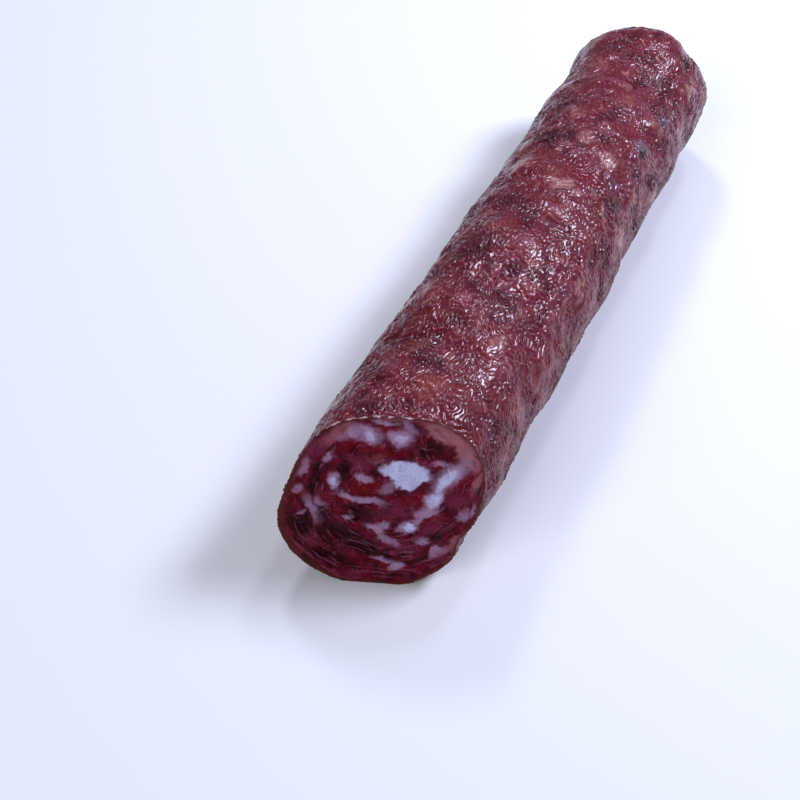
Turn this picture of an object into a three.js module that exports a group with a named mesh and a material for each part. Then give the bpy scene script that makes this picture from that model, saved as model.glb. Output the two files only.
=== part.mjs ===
// A piece of dry-cured sausage lying on its side, in millimetres, +Z up.
// It lies along +Y, with the slanting cut facing -Y and the gathered natural end at +Y.
// The origin is on the flattened underside, below the middle of the length.
// "Along" is the distance from the middle of the cut; angles go from +X up over the top.
import * as THREE from "three";

// Driving dimensions
const cutRadius = 20.6;
const endRadius = 19.4;
const bodyLength = 160;
const domeLength = 15.2;
const domeSquareness = 2.43;
const domeSkew = 1.9;
const nubRadius = 2.9;
const nubLength = 3.4;
const bow = 0.9;
const flattening = 0.6;
const restHalfAngle = 0.2;

// The cut is a plane: its slopes along the sausage, going across and going up
const cutTurn = 0.39;
const cutLean = 0.42;
const cutReach = Math.hypot(cutTurn, cutLean) * cutRadius;

// How finely the surface is divided
const stepsRound = 72;
const cutRings = 4;
const bodyRings = 60;
const domeRings = 10;
const nubRings = 3;
const rimPasses = 8;

// Slow swells of the casing: height, waves round, length of one radian along, phase
const swells = [
  { height: 0.45, round: 2, length: 17, phase: 0 },
  { height: 0.3, round: 3, length: -11, phase: 1 },
  { height: 0.25, round: 0, length: 9, phase: 0.6 },
];

// The section at the cut isn't round: waves round, with their cosine and sine heights
const cutSection = [
  { round: 2, cosine: -0.45, sine: -0.37 },
  { round: 3, cosine: -0.43, sine: 0.04 },
  { round: 4, cosine: -0.35, sine: 0.29 },
];
const cutSectionFade = 26;

// Broad rises and hollows: height, middle and half width along, middle and half width round in degrees
const rises = [
  // The waist before the end
  { height: -1.1, along: 145, reach: 5.5, angle: 0, spread: 400 },
  // Round the cut
  { height: -1.3, along: 0, reach: 11, angle: -24, spread: 7.5 },
  { height: 0.7, along: -6, reach: 9, angle: -39, spread: 8 },
  { height: 0.6, along: -11, reach: 9, angle: -82, spread: 14 },
  { height: 1.2, along: -7, reach: 10, angle: 199, spread: 20 },
  { height: 0.5, along: 2, reach: 8, angle: 126, spread: 16 },
  // Down the right side
  { height: 0.4, along: 20, reach: 10, angle: -17, spread: 30 },
  { height: -1.1, along: 41, reach: 8, angle: -17, spread: 30 },
  { height: -0.9, along: 63, reach: 9, angle: -17, spread: 28 },
  { height: 1.3, along: 85, reach: 7, angle: -12, spread: 30 },
  { height: -1.4, along: 121, reach: 11, angle: -12, spread: 34 },
  { height: 0.6, along: 157, reach: 8, angle: -12, spread: 30 },
  // Down the left side
  { height: 0.4, along: 42, reach: 12, angle: 160, spread: 30 },
  { height: -0.6, along: 61, reach: 5, angle: 158, spread: 26 },
  { height: 1.0, along: 90, reach: 17, angle: 160, spread: 34 },
  { height: -0.9, along: 154, reach: 6, angle: 156, spread: 30 },
  // Across the top
  { height: -0.5, along: 32, reach: 3.5, angle: 95, spread: 40 },
  { height: -0.6, along: 55, reach: 3.5, angle: 75, spread: 45 },
  { height: -0.5, along: 79, reach: 3.5, angle: 100, spread: 50 },
  { height: -0.5, along: 104, reach: 4, angle: 60, spread: 45 },
  { height: -0.6, along: 126, reach: 4, angle: 45, spread: 35 },
  // On the end
  { height: -1.3, along: 170, reach: 7, angle: 46, spread: 11 },
  { height: 0.9, along: 170, reach: 6, angle: 10, spread: 14 },
];

// The larger lumps of fat that push the casing out: height, size, along, angle in degrees
const bigLumps = [
  { height: 0.9, size: 5.2, along: 18.5, angle: 84 },
  { height: 0.8, size: 5.5, along: 16.5, angle: 60 },
  { height: 0.9, size: 7.0, along: 38.5, angle: 60 },
  { height: 0.8, size: 5.5, along: 45.5, angle: 122 },
  { height: 0.6, size: 5.0, along: 47.0, angle: 24 },
  { height: 0.6, size: 4.8, along: 71.0, angle: 40 },
  { height: 0.6, size: 4.2, along: 70.5, angle: 20 },
  { height: 0.7, size: 4.4, along: 84.0, angle: 76 },
  { height: 0.8, size: 4.6, along: 92.0, angle: 78 },
  { height: 0.6, size: 5.5, along: 101.0, angle: 118 },
  { height: 0.7, size: 5.0, along: 120.0, angle: 50 },
  { height: 0.8, size: 5.5, along: 139.0, angle: 101 },
  { height: 0.5, size: 4.5, along: 163.0, angle: 70 },
];

// Smaller lumps, spread evenly over the casing by fractions of irrational steps
const smallLumps = 90;
const smallLumpLow = 0.3;
const smallLumpRange = 0.45;
const smallLumpSize = 2.8;
const smallLumpSizeRange = 2.8;
const smallLumpMean = 0.14;
const plasticNumber = 1.3247179572;
const goldenStep = 0.618034;
const silverStep = 0.414214;

// The casing gathers in folds round the nub
const folds = 9;
const foldDepth = 1.5;
const foldWander = 0.9;
const pleatDepth = 0.12;
const nubBulge = 0.25;
const nubTaper = 0.6;

const clamp = THREE.MathUtils.clamp;
const lerp = THREE.MathUtils.lerp;
const radians = THREE.MathUtils.degToRad;
const fraction = (value) => value - Math.floor(value);

// The shortest way round from one angle to another, in radians
const turnBetween = (from, to) => Math.atan2(Math.sin(to - from), Math.cos(to - from));

// A rounded bump of height 1 that falls off with distance
const bump = (distance) => Math.exp(-distance * distance);

const total = (items, value) => items.reduce((sum, item) => sum + value(item), 0);

const nominalRadius = (along) => lerp(cutRadius, endRadius, clamp(along / bodyLength, 0, 1));
const axisHeight = (along) => nominalRadius(along) - flattening;
const axisShift = (along) => bow * Math.sin(Math.PI * clamp(along / (bodyLength + domeLength), 0, 1));

const swellHeight = (angle, along) =>
  total(swells, (swell) => {
    const turn = swell.round * angle + along / swell.length + swell.phase;
    return swell.height * Math.sin(turn);
  });

const cutSectionHeight = (angle, along) =>
  total(cutSection, (wave) => {
    const height = wave.cosine * Math.cos(wave.round * angle) + wave.sine * Math.sin(wave.round * angle);
    return height * bump(along / cutSectionFade);
  });

const riseHeight = (angle, along) =>
  total(rises, (rise) => {
    const turn = turnBetween(radians(rise.angle), angle) / radians(rise.spread);
    return rise.height * bump((along - rise.along) / rise.reach) * bump(turn);
  });

function lumpHeight(angle, along, lump) {
  const across = turnBetween(radians(lump.angle), angle) * cutRadius;
  return lump.height * bump(Math.hypot(along - lump.along, across) / lump.size);
}

const scatteredLumps = Array.from({ length: smallLumps }, (_, i) => ({
  height: smallLumpLow + smallLumpRange * fraction((i + 1) * silverStep),
  size: smallLumpSize + smallLumpSizeRange * fraction((i + 1) * goldenStep),
  along: fraction(0.5 + (i + 1) / plasticNumber) * (bodyLength + domeLength),
  angle: 360 * fraction(0.5 + (i + 1) / plasticNumber ** 2),
}));

function casingRadius(angle, along) {
  const lumps = total([...bigLumps, ...scatteredLumps], (lump) => lumpHeight(angle, along, lump));
  const broad = swellHeight(angle, along) + cutSectionHeight(angle, along) + riseHeight(angle, along);
  return nominalRadius(along) + broad + lumps - smallLumpMean;
}

// A point of the casing. The underside is pressed flat where the sausage rests.
function casingPoint(angle, along, radius) {
  const offDown = turnBetween(-Math.PI / 2, angle);
  const rests = Math.abs(offDown) < restHalfAngle && along < bodyLength;
  const reach = rests ? Math.max(radius, axisHeight(along) / Math.cos(offDown)) : radius;
  const x = axisShift(along) + reach * Math.cos(angle);
  const z = axisHeight(along) + reach * Math.sin(angle);
  return new THREE.Vector3(x, along, Math.max(z, 0));
}

// The point of the casing on the plane of the cut. Each pass measures the casing where the last one ended.
function rimPoint(angle) {
  const middle = new THREE.Vector3(0, 0, axisHeight(0));
  const point = middle.clone();
  for (let pass = 0; pass < rimPasses; pass += 1) {
    point.copy(casingPoint(angle, point.y, casingRadius(angle, point.y)));
    point.y = cutTurn * point.x + cutLean * (point.z - middle.z);
  }
  return point;
}

const angles = Array.from({ length: stepsRound }, (_, step) => (2 * Math.PI * step) / stepsRound);
const rim = angles.map(rimPoint);
const domeStart = (angle) => bodyLength + domeSkew * Math.cos(angle);

function cutRing(share) {
  const middle = new THREE.Vector3(0, 0, axisHeight(0));
  return rim.map((point) => middle.clone().lerp(point, share));
}

function bodyRing(share) {
  return angles.map((angle, step) => {
    const along = lerp(rim[step].y, domeStart(angle), share);
    return casingPoint(angle, along, casingRadius(angle, along));
  });
}

// The end closes as a squarish dome, with folds that run in to the nub.
// The dome's profile is a superellipse, divided evenly by the angle that draws it.
const domeSweep = Math.acos((nubRadius / endRadius) ** (domeSquareness / 2));

function domeRing(share) {
  const across = Math.cos(domeSweep * share) ** (2 / domeSquareness);
  const forward = Math.sin(domeSweep * share) ** (2 / domeSquareness);
  const closing = (1 - across) / (1 - nubRadius / endRadius);
  return angles.map((angle) => {
    const along = lerp(domeStart(angle), bodyLength, closing) + domeLength * forward;
    const crease = 0.5 - 0.5 * Math.cos(folds * angle + foldWander * Math.sin(2 * angle));
    const fold = foldDepth * crease * across * Math.sin(Math.PI * closing ** 1.3);
    return casingPoint(angle, along, lerp(casingRadius(angle, along), nubRadius, closing) - fold);
  });
}

function nubRing(share) {
  const along = bodyLength + domeLength + nubLength * share;
  const bulge = 1 + nubBulge * Math.sin(Math.PI * share);
  const radius = nubRadius * bulge * Math.sqrt(1 - nubTaper * share ** 4);
  return angles.map((angle) => {
    const pleat = 1 + pleatDepth * Math.cos(folds * angle);
    return casingPoint(angle, along, radius * pleat);
  });
}

const shares = (count) => Array.from({ length: count }, (_, i) => (i + 1) / count);

function sausageGeometry() {
  const rings = [
    ...shares(cutRings).slice(0, -1).map(cutRing),
    rim,
    ...shares(bodyRings).map(bodyRing),
    ...shares(domeRings).map(domeRing),
    ...shares(nubRings).map(nubRing),
  ];
  const cutMiddle = new THREE.Vector3(0, 0, axisHeight(0));
  const tip = new THREE.Vector3(0, bodyLength + domeLength + nubLength, axisHeight(bodyLength));
  const points = [cutMiddle, ...rings.flat(), tip];

  const faces = [];
  const at = (ring, step) => 1 + ring * stepsRound + (step % stepsRound);
  const last = rings.length - 1;
  for (let step = 0; step < stepsRound; step += 1) {
    faces.push(0, at(0, step), at(0, step + 1));
    for (let ring = 0; ring < last; ring += 1) {
      faces.push(at(ring, step), at(ring + 1, step), at(ring + 1, step + 1));
      faces.push(at(ring, step), at(ring + 1, step + 1), at(ring, step + 1));
    }
    faces.push(points.length - 1, at(last, step + 1), at(last, step));
  }

  const geometry = new THREE.BufferGeometry().setFromPoints(points);
  geometry.setIndex(faces);
  geometry.computeVertexNormals();
  return geometry;
}

const curedMeat = new THREE.MeshStandardMaterial({ color: 0x713c4d, roughness: 0.35, metalness: 0 });
const sausage = new THREE.Mesh(sausageGeometry(), curedMeat);
sausage.name = "sausage";

// The middle of the whole length comes over the origin
const wholeLength = cutReach + bodyLength + domeLength + nubLength;
sausage.position.y = cutReach - wholeLength / 2;

const part = new THREE.Group();
part.add(sausage);

export default part;
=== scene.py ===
"""Looks of a length of dry-cured sausage, built over its frame.

Sizes are in metres, in the row frame. "Along" is the distance from the middle of the cut, and angles
go from +X up over the top, as in the part's own source. The formulas of the casing repeat that source.
"""

import logging
import math
from dataclasses import dataclass
from enum import Enum

import bpy
import numpy as np
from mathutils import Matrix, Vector

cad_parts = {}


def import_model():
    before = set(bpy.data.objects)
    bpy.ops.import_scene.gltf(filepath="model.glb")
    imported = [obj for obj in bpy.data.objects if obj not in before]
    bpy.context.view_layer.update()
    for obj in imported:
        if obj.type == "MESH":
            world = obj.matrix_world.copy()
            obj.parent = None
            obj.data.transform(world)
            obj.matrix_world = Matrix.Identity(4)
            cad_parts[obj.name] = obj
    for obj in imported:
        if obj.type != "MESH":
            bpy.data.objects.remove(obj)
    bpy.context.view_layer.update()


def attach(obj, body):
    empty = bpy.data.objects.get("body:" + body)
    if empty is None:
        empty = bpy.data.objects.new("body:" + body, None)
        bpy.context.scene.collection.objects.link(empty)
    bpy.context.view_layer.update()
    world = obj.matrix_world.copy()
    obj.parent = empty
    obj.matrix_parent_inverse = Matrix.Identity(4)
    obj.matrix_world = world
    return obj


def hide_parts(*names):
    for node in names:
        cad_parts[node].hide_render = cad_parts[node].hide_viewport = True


Array = np.ndarray
LOG = logging.getLogger("cured_sausage")
UV_NAME = "OFBake"
BODY = "root"
NODE = "sausage"

# Steps that spread the small lumps and patches evenly, with no pattern that shows
PLASTIC_NUMBER = 1.3247179572
GOLDEN_STEP = 0.618034
SILVER_STEP = 0.414214


def fraction(value: Array | float) -> Array | float:
    """The part of a number after the point."""
    return value - np.floor(value)


def bump(distance: Array) -> Array:
    """A rounded bump of height 1: e to the power of minus the distance squared."""
    return np.exp(-distance * distance)


def plateau(distance: Array) -> Array:
    """A flat-topped bump of height 1: e to the power of minus the distance to the fourth."""
    return np.exp(-(distance**4))


def turn_between(start: Array | float, end: Array | float) -> Array:
    """The shortest way round from one angle to another, in radians."""
    return np.arctan2(np.sin(end - start), np.cos(end - start))


def smooth_step(low: float, high: float, value: Array) -> Array:
    """0 below low, 1 above high and 3t^2 - 2t^3 between them."""
    share = np.clip((value - low) / (high - low), 0.0, 1.0)
    return share * share * (3.0 - 2.0 * share)


def linear(red: int, green: int, blue: int) -> tuple[float, float, float, float]:
    """A screen colour of 0 to 255 as the linear colour that shaders take.

    Args:
        red: Red on the screen.
        green: Green on the screen.
        blue: Blue on the screen.

    Returns:
        Linear red, green and blue, and alpha 1.
    """
    screen = np.array([red, green, blue]) / 255.0
    values = np.where(screen <= 0.04045, screen / 12.92, ((screen + 0.055) / 1.055) ** 2.4)
    return (*values.tolist(), 1.0)


class Tone(Enum):
    """What shows in a patch of the casing or the cut: an attribute's name and its channel."""

    CREAM = ("fat_tones", 0)
    ORANGE = ("fat_tones", 1)
    PINK = ("fat_tones", 2)
    RED = ("lean_tones", 0)
    # On the cut, DARK marks sunk gaps painted with shade; on the casing it is darker lean
    DARK = ("lean_tones", 1)
    GREY = ("lean_tones", 2)


@dataclass(frozen=True)
class Swell:
    """A slow wave of the casing: height, waves round, length of one radian along, phase."""

    height: float
    round: int
    length: float
    phase: float


@dataclass(frozen=True)
class SectionWave:
    """A wave of the section at the cut: waves round, with its cosine and sine heights."""

    round: int
    cosine: float
    sine: float


@dataclass(frozen=True)
class Rise:
    """A broad rise or hollow: height, middle and half width along, then round, in degrees."""

    height: float
    along: float
    reach: float
    angle: float
    spread: float


@dataclass(frozen=True)
class Lump:
    """A lump of fat that pushes the casing out: height, size, place along, angle in degrees."""

    height: float
    size: float
    along: float
    angle: float


@dataclass(frozen=True)
class Patch:
    """A patch of one tone: its middle, half length, half width, turn in degrees, tone and strength.

    On the casing the middle is the distance along and the angle in degrees, and a patch of no turn
    is longest along the sausage. On the cut the middle is the place across and up from the cut's
    middle, and a patch of no turn is longest across.
    """

    first: float
    second: float
    length: float
    width: float
    turn: float
    tone: Tone
    strength: float = 1.0


SWELLS = (
    Swell(0.00045, 2, 0.017, 0.0),
    Swell(0.0003, 3, -0.011, 1.0),
    Swell(0.00025, 0, 0.009, 0.6),
)

CUT_SECTION = (
    SectionWave(2, -0.00045, -0.00037),
    SectionWave(3, -0.00043, 0.00004),
    SectionWave(4, -0.00035, 0.00029),
)

RISES = (
    Rise(-0.0011, 0.145, 0.0055, 0, 400),
    Rise(-0.0013, 0.0, 0.011, -24, 7.5),
    Rise(0.0007, -0.006, 0.009, -39, 8),
    Rise(0.0006, -0.011, 0.009, -82, 14),
    Rise(0.0012, -0.007, 0.010, 199, 20),
    Rise(0.0005, 0.002, 0.008, 126, 16),
    Rise(0.0004, 0.020, 0.010, -17, 30),
    Rise(-0.0011, 0.041, 0.008, -17, 30),
    Rise(-0.0009, 0.063, 0.009, -17, 28),
    Rise(0.0013, 0.085, 0.007, -12, 30),
    Rise(-0.0014, 0.121, 0.011, -12, 34),
    Rise(0.0006, 0.157, 0.008, -12, 30),
    Rise(0.0004, 0.042, 0.012, 160, 30),
    Rise(-0.0006, 0.061, 0.005, 158, 26),
    Rise(0.0010, 0.090, 0.017, 160, 34),
    Rise(-0.0009, 0.154, 0.006, 156, 30),
    Rise(-0.0005, 0.032, 0.0035, 95, 40),
    Rise(-0.0006, 0.055, 0.0035, 75, 45),
    Rise(-0.0005, 0.079, 0.0035, 100, 50),
    Rise(-0.0005, 0.104, 0.004, 60, 45),
    Rise(-0.0006, 0.126, 0.004, 45, 35),
    Rise(-0.0013, 0.170, 0.007, 46, 11),
    Rise(0.0009, 0.170, 0.006, 10, 14),
)

BIG_LUMPS = (
    Lump(0.0009, 0.0052, 0.0185, 84),
    Lump(0.0008, 0.0055, 0.0165, 60),
    Lump(0.0009, 0.0070, 0.0385, 60),
    Lump(0.0008, 0.0055, 0.0455, 122),
    Lump(0.0006, 0.0050, 0.0470, 24),
    Lump(0.0006, 0.0048, 0.0710, 40),
    Lump(0.0006, 0.0042, 0.0705, 20),
    Lump(0.0007, 0.0044, 0.0840, 76),
    Lump(0.0008, 0.0046, 0.0920, 78),
    Lump(0.0006, 0.0055, 0.1010, 118),
    Lump(0.0007, 0.0050, 0.1200, 50),
    Lump(0.0008, 0.0055, 0.1390, 101),
    Lump(0.0005, 0.0045, 0.1630, 70),
)

# What shows through the casing, from the cut to the end
CASING_PATCHES = (
    Patch(0.0190, 84, 0.0038, 0.0034, 20, Tone.ORANGE, 0.85),
    Patch(0.0140, 106, 0.0045, 0.0026, 60, Tone.ORANGE, 0.35),
    Patch(0.0165, 60, 0.0045, 0.0045, 0, Tone.DARK, 0.35),
    Patch(0.0285, 80, 0.0025, 0.0022, 40, Tone.ORANGE, 0.7),
    Patch(0.0300, 113, 0.0030, 0.0028, 0, Tone.ORANGE, 0.45),
    Patch(0.0260, 94, 0.0030, 0.0042, 0, Tone.DARK, 0.5),
    Patch(0.0310, 17, 0.0032, 0.0030, 30, Tone.PINK, 0.7),
    Patch(0.0385, 62, 0.0030, 0.0024, 10, Tone.CREAM, 0.55),
    Patch(0.0350, 49, 0.0024, 0.0020, 60, Tone.PINK, 0.6),
    Patch(0.0460, 121, 0.0028, 0.0022, 40, Tone.ORANGE, 0.55),
    Patch(0.0490, 76, 0.0038, 0.0060, 0, Tone.DARK, 0.45),
    Patch(0.0420, 10, 0.0022, 0.0024, 0, Tone.RED, 0.6),
    Patch(0.0450, 19, 0.0020, 0.0018, 0, Tone.PINK, 0.7),
    Patch(0.0530, 22, 0.0022, 0.0018, 50, Tone.RED, 1.0),
    Patch(0.0550, 88, 0.0026, 0.0026, 0, Tone.RED, 0.6),
    Patch(0.0580, 25, 0.0022, 0.0016, 60, Tone.CREAM, 0.6),
    Patch(0.0635, 38, 0.0018, 0.0018, 0, Tone.CREAM, 0.5),
    Patch(0.0650, 70, 0.0026, 0.0022, 30, Tone.ORANGE, 0.6),
    Patch(0.0680, 39, 0.0028, 0.0016, 70, Tone.PINK, 0.6),
    Patch(0.0660, 111, 0.0045, 0.0060, 0, Tone.DARK, 0.5),
    Patch(0.0750, 42, 0.0028, 0.0020, 20, Tone.RED, 0.6),
    Patch(0.0835, 77, 0.0026, 0.0020, 60, Tone.PINK, 0.85),
    Patch(0.0780, 68, 0.0034, 0.0048, 0, Tone.DARK, 0.4),
    Patch(0.0930, 84, 0.0018, 0.0036, 10, Tone.CREAM, 0.75),
    Patch(0.0930, 71, 0.0013, 0.0012, 0, Tone.CREAM, 0.7),
    Patch(0.0955, 62, 0.0018, 0.0014, 0, Tone.CREAM, 0.45),
    Patch(0.0930, 50, 0.0013, 0.0012, 0, Tone.CREAM, 0.7),
    Patch(0.0915, 42, 0.0018, 0.0016, 0, Tone.CREAM, 0.55),
    Patch(0.0940, 57, 0.0024, 0.0024, 0, Tone.RED, 0.9),
    Patch(0.1000, 76, 0.0040, 0.0055, 20, Tone.RED, 0.7),
    Patch(0.1040, 52, 0.0016, 0.0012, 0, Tone.GREY, 0.6),
    Patch(0.0985, 41, 0.0020, 0.0014, 0, Tone.GREY, 0.5),
    Patch(0.1010, 120, 0.0045, 0.0032, 30, Tone.ORANGE, 0.45),
    Patch(0.1120, 119, 0.0026, 0.0046, 0, Tone.DARK, 0.9),
    Patch(0.1120, 100, 0.0022, 0.0036, 0, Tone.DARK, 0.6),
    Patch(0.1170, 110, 0.0014, 0.0030, 0, Tone.PINK, 0.4),
    Patch(0.1170, 145, 0.0022, 0.0020, 0, Tone.CREAM, 0.5),
    Patch(0.1220, 140, 0.0020, 0.0024, 0, Tone.GREY, 0.5),
    Patch(0.1205, 47, 0.0030, 0.0026, 0, Tone.GREY, 1.0),
    Patch(0.1200, 44, 0.0015, 0.0012, 0, Tone.DARK, 2.0),
    Patch(0.1250, 54, 0.0034, 0.0040, 0, Tone.RED, 0.75),
    Patch(0.1310, 118, 0.0022, 0.0018, 0, Tone.PINK, 0.5),
    Patch(0.1310, 78, 0.0026, 0.0020, 0, Tone.ORANGE, 0.35),
    Patch(0.1340, 56, 0.0036, 0.0028, 20, Tone.PINK, 0.5),
    Patch(0.1370, 39, 0.0018, 0.0032, 30, Tone.GREY, 0.9),
    Patch(0.1430, 42, 0.0012, 0.0034, 30, Tone.DARK, 0.6),
    Patch(0.1400, 92, 0.0018, 0.0038, 0, Tone.PINK, 0.75),
    Patch(0.1390, 81, 0.0014, 0.0014, 0, Tone.CREAM, 0.5),
    Patch(0.1460, 112, 0.0026, 0.0036, 0, Tone.PINK, 0.6),
    Patch(0.1560, 72, 0.0009, 0.0009, 0, Tone.CREAM, 1.0),
    Patch(0.1570, 86, 0.0028, 0.0036, 0, Tone.RED, 0.6),
    Patch(0.1620, 47, 0.0046, 0.0020, 0, Tone.DARK, 0.8),
    Patch(0.1640, 30, 0.0030, 0.0030, 0, Tone.PINK, 0.4),
)

# What shows on the cut, from the middle of the cut. Its DARK patches are sunk gaps and crevices painted with
# shade.
CUT_PATCHES = (
    Patch(0.0043, 0.0076, 0.0056, 0.0028, -8, Tone.CREAM),
    Patch(0.0050, 0.0056, 0.0034, 0.0022, 24, Tone.CREAM),
    Patch(0.0128, 0.0070, 0.0050, 0.0023, 55, Tone.PINK),
    Patch(0.0122, 0.0064, 0.0038, 0.0015, 55, Tone.CREAM, 0.7),
    Patch(0.0108, 0.0100, 0.0024, 0.0009, 5, Tone.PINK, 0.72),
    Patch(0.0106, 0.0016, 0.0033, 0.0018, 72, Tone.PINK),
    Patch(0.0106, 0.0018, 0.0028, 0.0013, 72, Tone.CREAM, 0.64),
    Patch(0.0099, -0.0016, 0.0025, 0.0015, 25, Tone.PINK),
    Patch(0.0068, -0.0054, 0.0020, 0.0017, 20, Tone.PINK),
    Patch(0.0068, -0.0054, 0.0016, 0.0013, 20, Tone.CREAM, 0.74),
    Patch(0.0082, -0.0038, 0.0021, 0.0009, 35, Tone.PINK, 0.8),
    Patch(-0.0053, 0.0158, 0.0037, 0.0021, -18, Tone.PINK),
    Patch(-0.0048, 0.0155, 0.0024, 0.0012, -18, Tone.CREAM, 0.56),
    Patch(0.0015, 0.0154, 0.0031, 0.0019, -15, Tone.PINK),
    Patch(0.0018, 0.0152, 0.0020, 0.0011, -15, Tone.CREAM, 0.56),
    Patch(0.0028, 0.0178, 0.0024, 0.0014, -40, Tone.PINK, 0.62),
    Patch(-0.0020, 0.0187, 0.0028, 0.0007, -4, Tone.PINK, 0.8),
    Patch(-0.0095, 0.0150, 0.0024, 0.0013, 25, Tone.PINK, 0.5),
    Patch(-0.0101, 0.0044, 0.0022, 0.0012, 105, Tone.PINK),
    Patch(-0.0101, 0.0044, 0.0015, 0.0008, 105, Tone.CREAM, 0.6),
    Patch(-0.0121, 0.0100, 0.0012, 0.0010, 70, Tone.PINK, 0.75),
    Patch(-0.0042, 0.0055, 0.0018, 0.0012, -10, Tone.PINK, 0.85),
    Patch(-0.0041, 0.0005, 0.0052, 0.0011, -8, Tone.PINK, 0.9),
    Patch(-0.0066, 0.0009, 0.0026, 0.0011, -30, Tone.PINK, 0.8),
    Patch(-0.0135, -0.0022, 0.0038, 0.0014, -58, Tone.PINK, 0.68),
    Patch(-0.0122, -0.0004, 0.0020, 0.0007, -60, Tone.PINK, 0.6),
    Patch(-0.0174, 0.0021, 0.0013, 0.0011, 0, Tone.PINK, 0.62),
    Patch(-0.0160, -0.0040, 0.0010, 0.0008, 0, Tone.PINK, 0.6),
    Patch(-0.0127, -0.0093, 0.0026, 0.0017, 20, Tone.GREY, 0.8),
    Patch(0.0000, -0.0065, 0.0022, 0.0012, -25, Tone.PINK, 0.9),
    Patch(0.0016, -0.0053, 0.0018, 0.0012, -10, Tone.PINK, 0.8),
    Patch(0.0026, -0.0088, 0.0030, 0.0008, -25, Tone.PINK, 0.66),
    Patch(-0.0062, -0.0036, 0.0012, 0.0009, 0, Tone.PINK, 0.66),
    Patch(0.0059, -0.0154, 0.0018, 0.0011, 5, Tone.PINK, 0.95),
    Patch(0.0028, -0.0141, 0.0024, 0.0007, -5, Tone.PINK, 0.75),
    Patch(0.0103, -0.0087, 0.0017, 0.0010, -20, Tone.PINK, 0.75),
    Patch(0.0134, -0.0109, 0.0021, 0.0010, 50, Tone.PINK, 0.7),
    Patch(0.0173, -0.0018, 0.0017, 0.0015, 40, Tone.PINK, 0.7),
    Patch(0.0190, 0.0000, 0.0008, 0.0016, 0, Tone.PINK, 0.75),
    Patch(0.0150, 0.0014, 0.0030, 0.0026, 20, Tone.GREY, 0.8),
    Patch(0.0012, 0.0038, 0.0026, 0.0015, 25, Tone.PINK, 0.58),
    Patch(0.0044, -0.0020, 0.0034, 0.0020, 0, Tone.GREY, 0.7),
    Patch(0.0115, -0.0058, 0.0038, 0.0020, 15, Tone.GREY, 0.75),
    Patch(-0.0060, 0.0090, 0.0034, 0.0016, -50, Tone.GREY, 0.75),
    Patch(-0.0112, 0.0156, 0.0046, 0.0016, 45, Tone.ORANGE, 0.6),
    Patch(-0.0020, 0.0200, 0.0080, 0.0008, -3, Tone.ORANGE, 0.7),
    Patch(-0.0160, 0.0100, 0.0050, 0.0014, 65, Tone.GREY, 0.7),
    Patch(0.0060, -0.0110, 0.0050, 0.0014, 5, Tone.GREY, 0.7),
    Patch(-0.0060, -0.0075, 0.0040, 0.0010, -35, Tone.GREY, 0.75),
    Patch(-0.0022, 0.0098, 0.0028, 0.0013, -5, Tone.ORANGE, 0.4),
    Patch(-0.0166, 0.0074, 0.0022, 0.0012, 75, Tone.PINK, 0.6),
    Patch(0.0163, -0.0088, 0.0036, 0.0012, 55, Tone.ORANGE, 0.75),
    Patch(0.0100, 0.0170, 0.0054, 0.0019, -28, Tone.ORANGE, 1.1),
    Patch(0.0153, 0.0130, 0.0046, 0.0021, -50, Tone.ORANGE, 1.25),
    Patch(0.0187, 0.0068, 0.0034, 0.0009, 78, Tone.ORANGE, 0.8),
    Patch(0.0086, 0.0128, 0.0044, 0.0019, -20, Tone.DARK, 0.62),
    Patch(-0.0040, 0.0126, 0.0070, 0.0014, -5, Tone.RED, 0.9),
    Patch(-0.0016, 0.0174, 0.0034, 0.0009, -8, Tone.RED, 1.0),
    Patch(-0.0034, 0.0034, 0.0042, 0.0014, -6, Tone.RED, 0.95),
    Patch(0.0166, 0.0058, 0.0038, 0.0014, 72, Tone.RED, 1.0),
    Patch(0.0062, 0.0012, 0.0028, 0.0013, 20, Tone.RED, 0.9),
    Patch(0.0120, -0.0024, 0.0024, 0.0009, 35, Tone.RED, 0.7),
    Patch(-0.0153, -0.0062, 0.0040, 0.0026, -50, Tone.DARK, 0.95),
    Patch(-0.0138, 0.0046, 0.0056, 0.0013, 80, Tone.DARK, 0.85),
    Patch(-0.0040, -0.0096, 0.0086, 0.0021, -27, Tone.DARK, 1.05),
    Patch(-0.0033, -0.0031, 0.0033, 0.0019, -5, Tone.DARK, 0.85),
    Patch(-0.0086, 0.0072, 0.0022, 0.0020, 30, Tone.DARK, 0.75),
    Patch(-0.0078, -0.0142, 0.0052, 0.0016, -25, Tone.DARK, 0.8),
    Patch(0.0030, -0.0128, 0.0036, 0.0011, -8, Tone.DARK, 0.75),
    Patch(-0.0106, -0.0052, 0.0050, 0.0011, -60, Tone.DARK, 0.85),
    Patch(-0.0100, -0.0092, 0.0044, 0.0011, -48, Tone.DARK, 0.8),
    Patch(0.0120, -0.0075, 0.0040, 0.0010, 25, Tone.DARK, 0.6),
)


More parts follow.
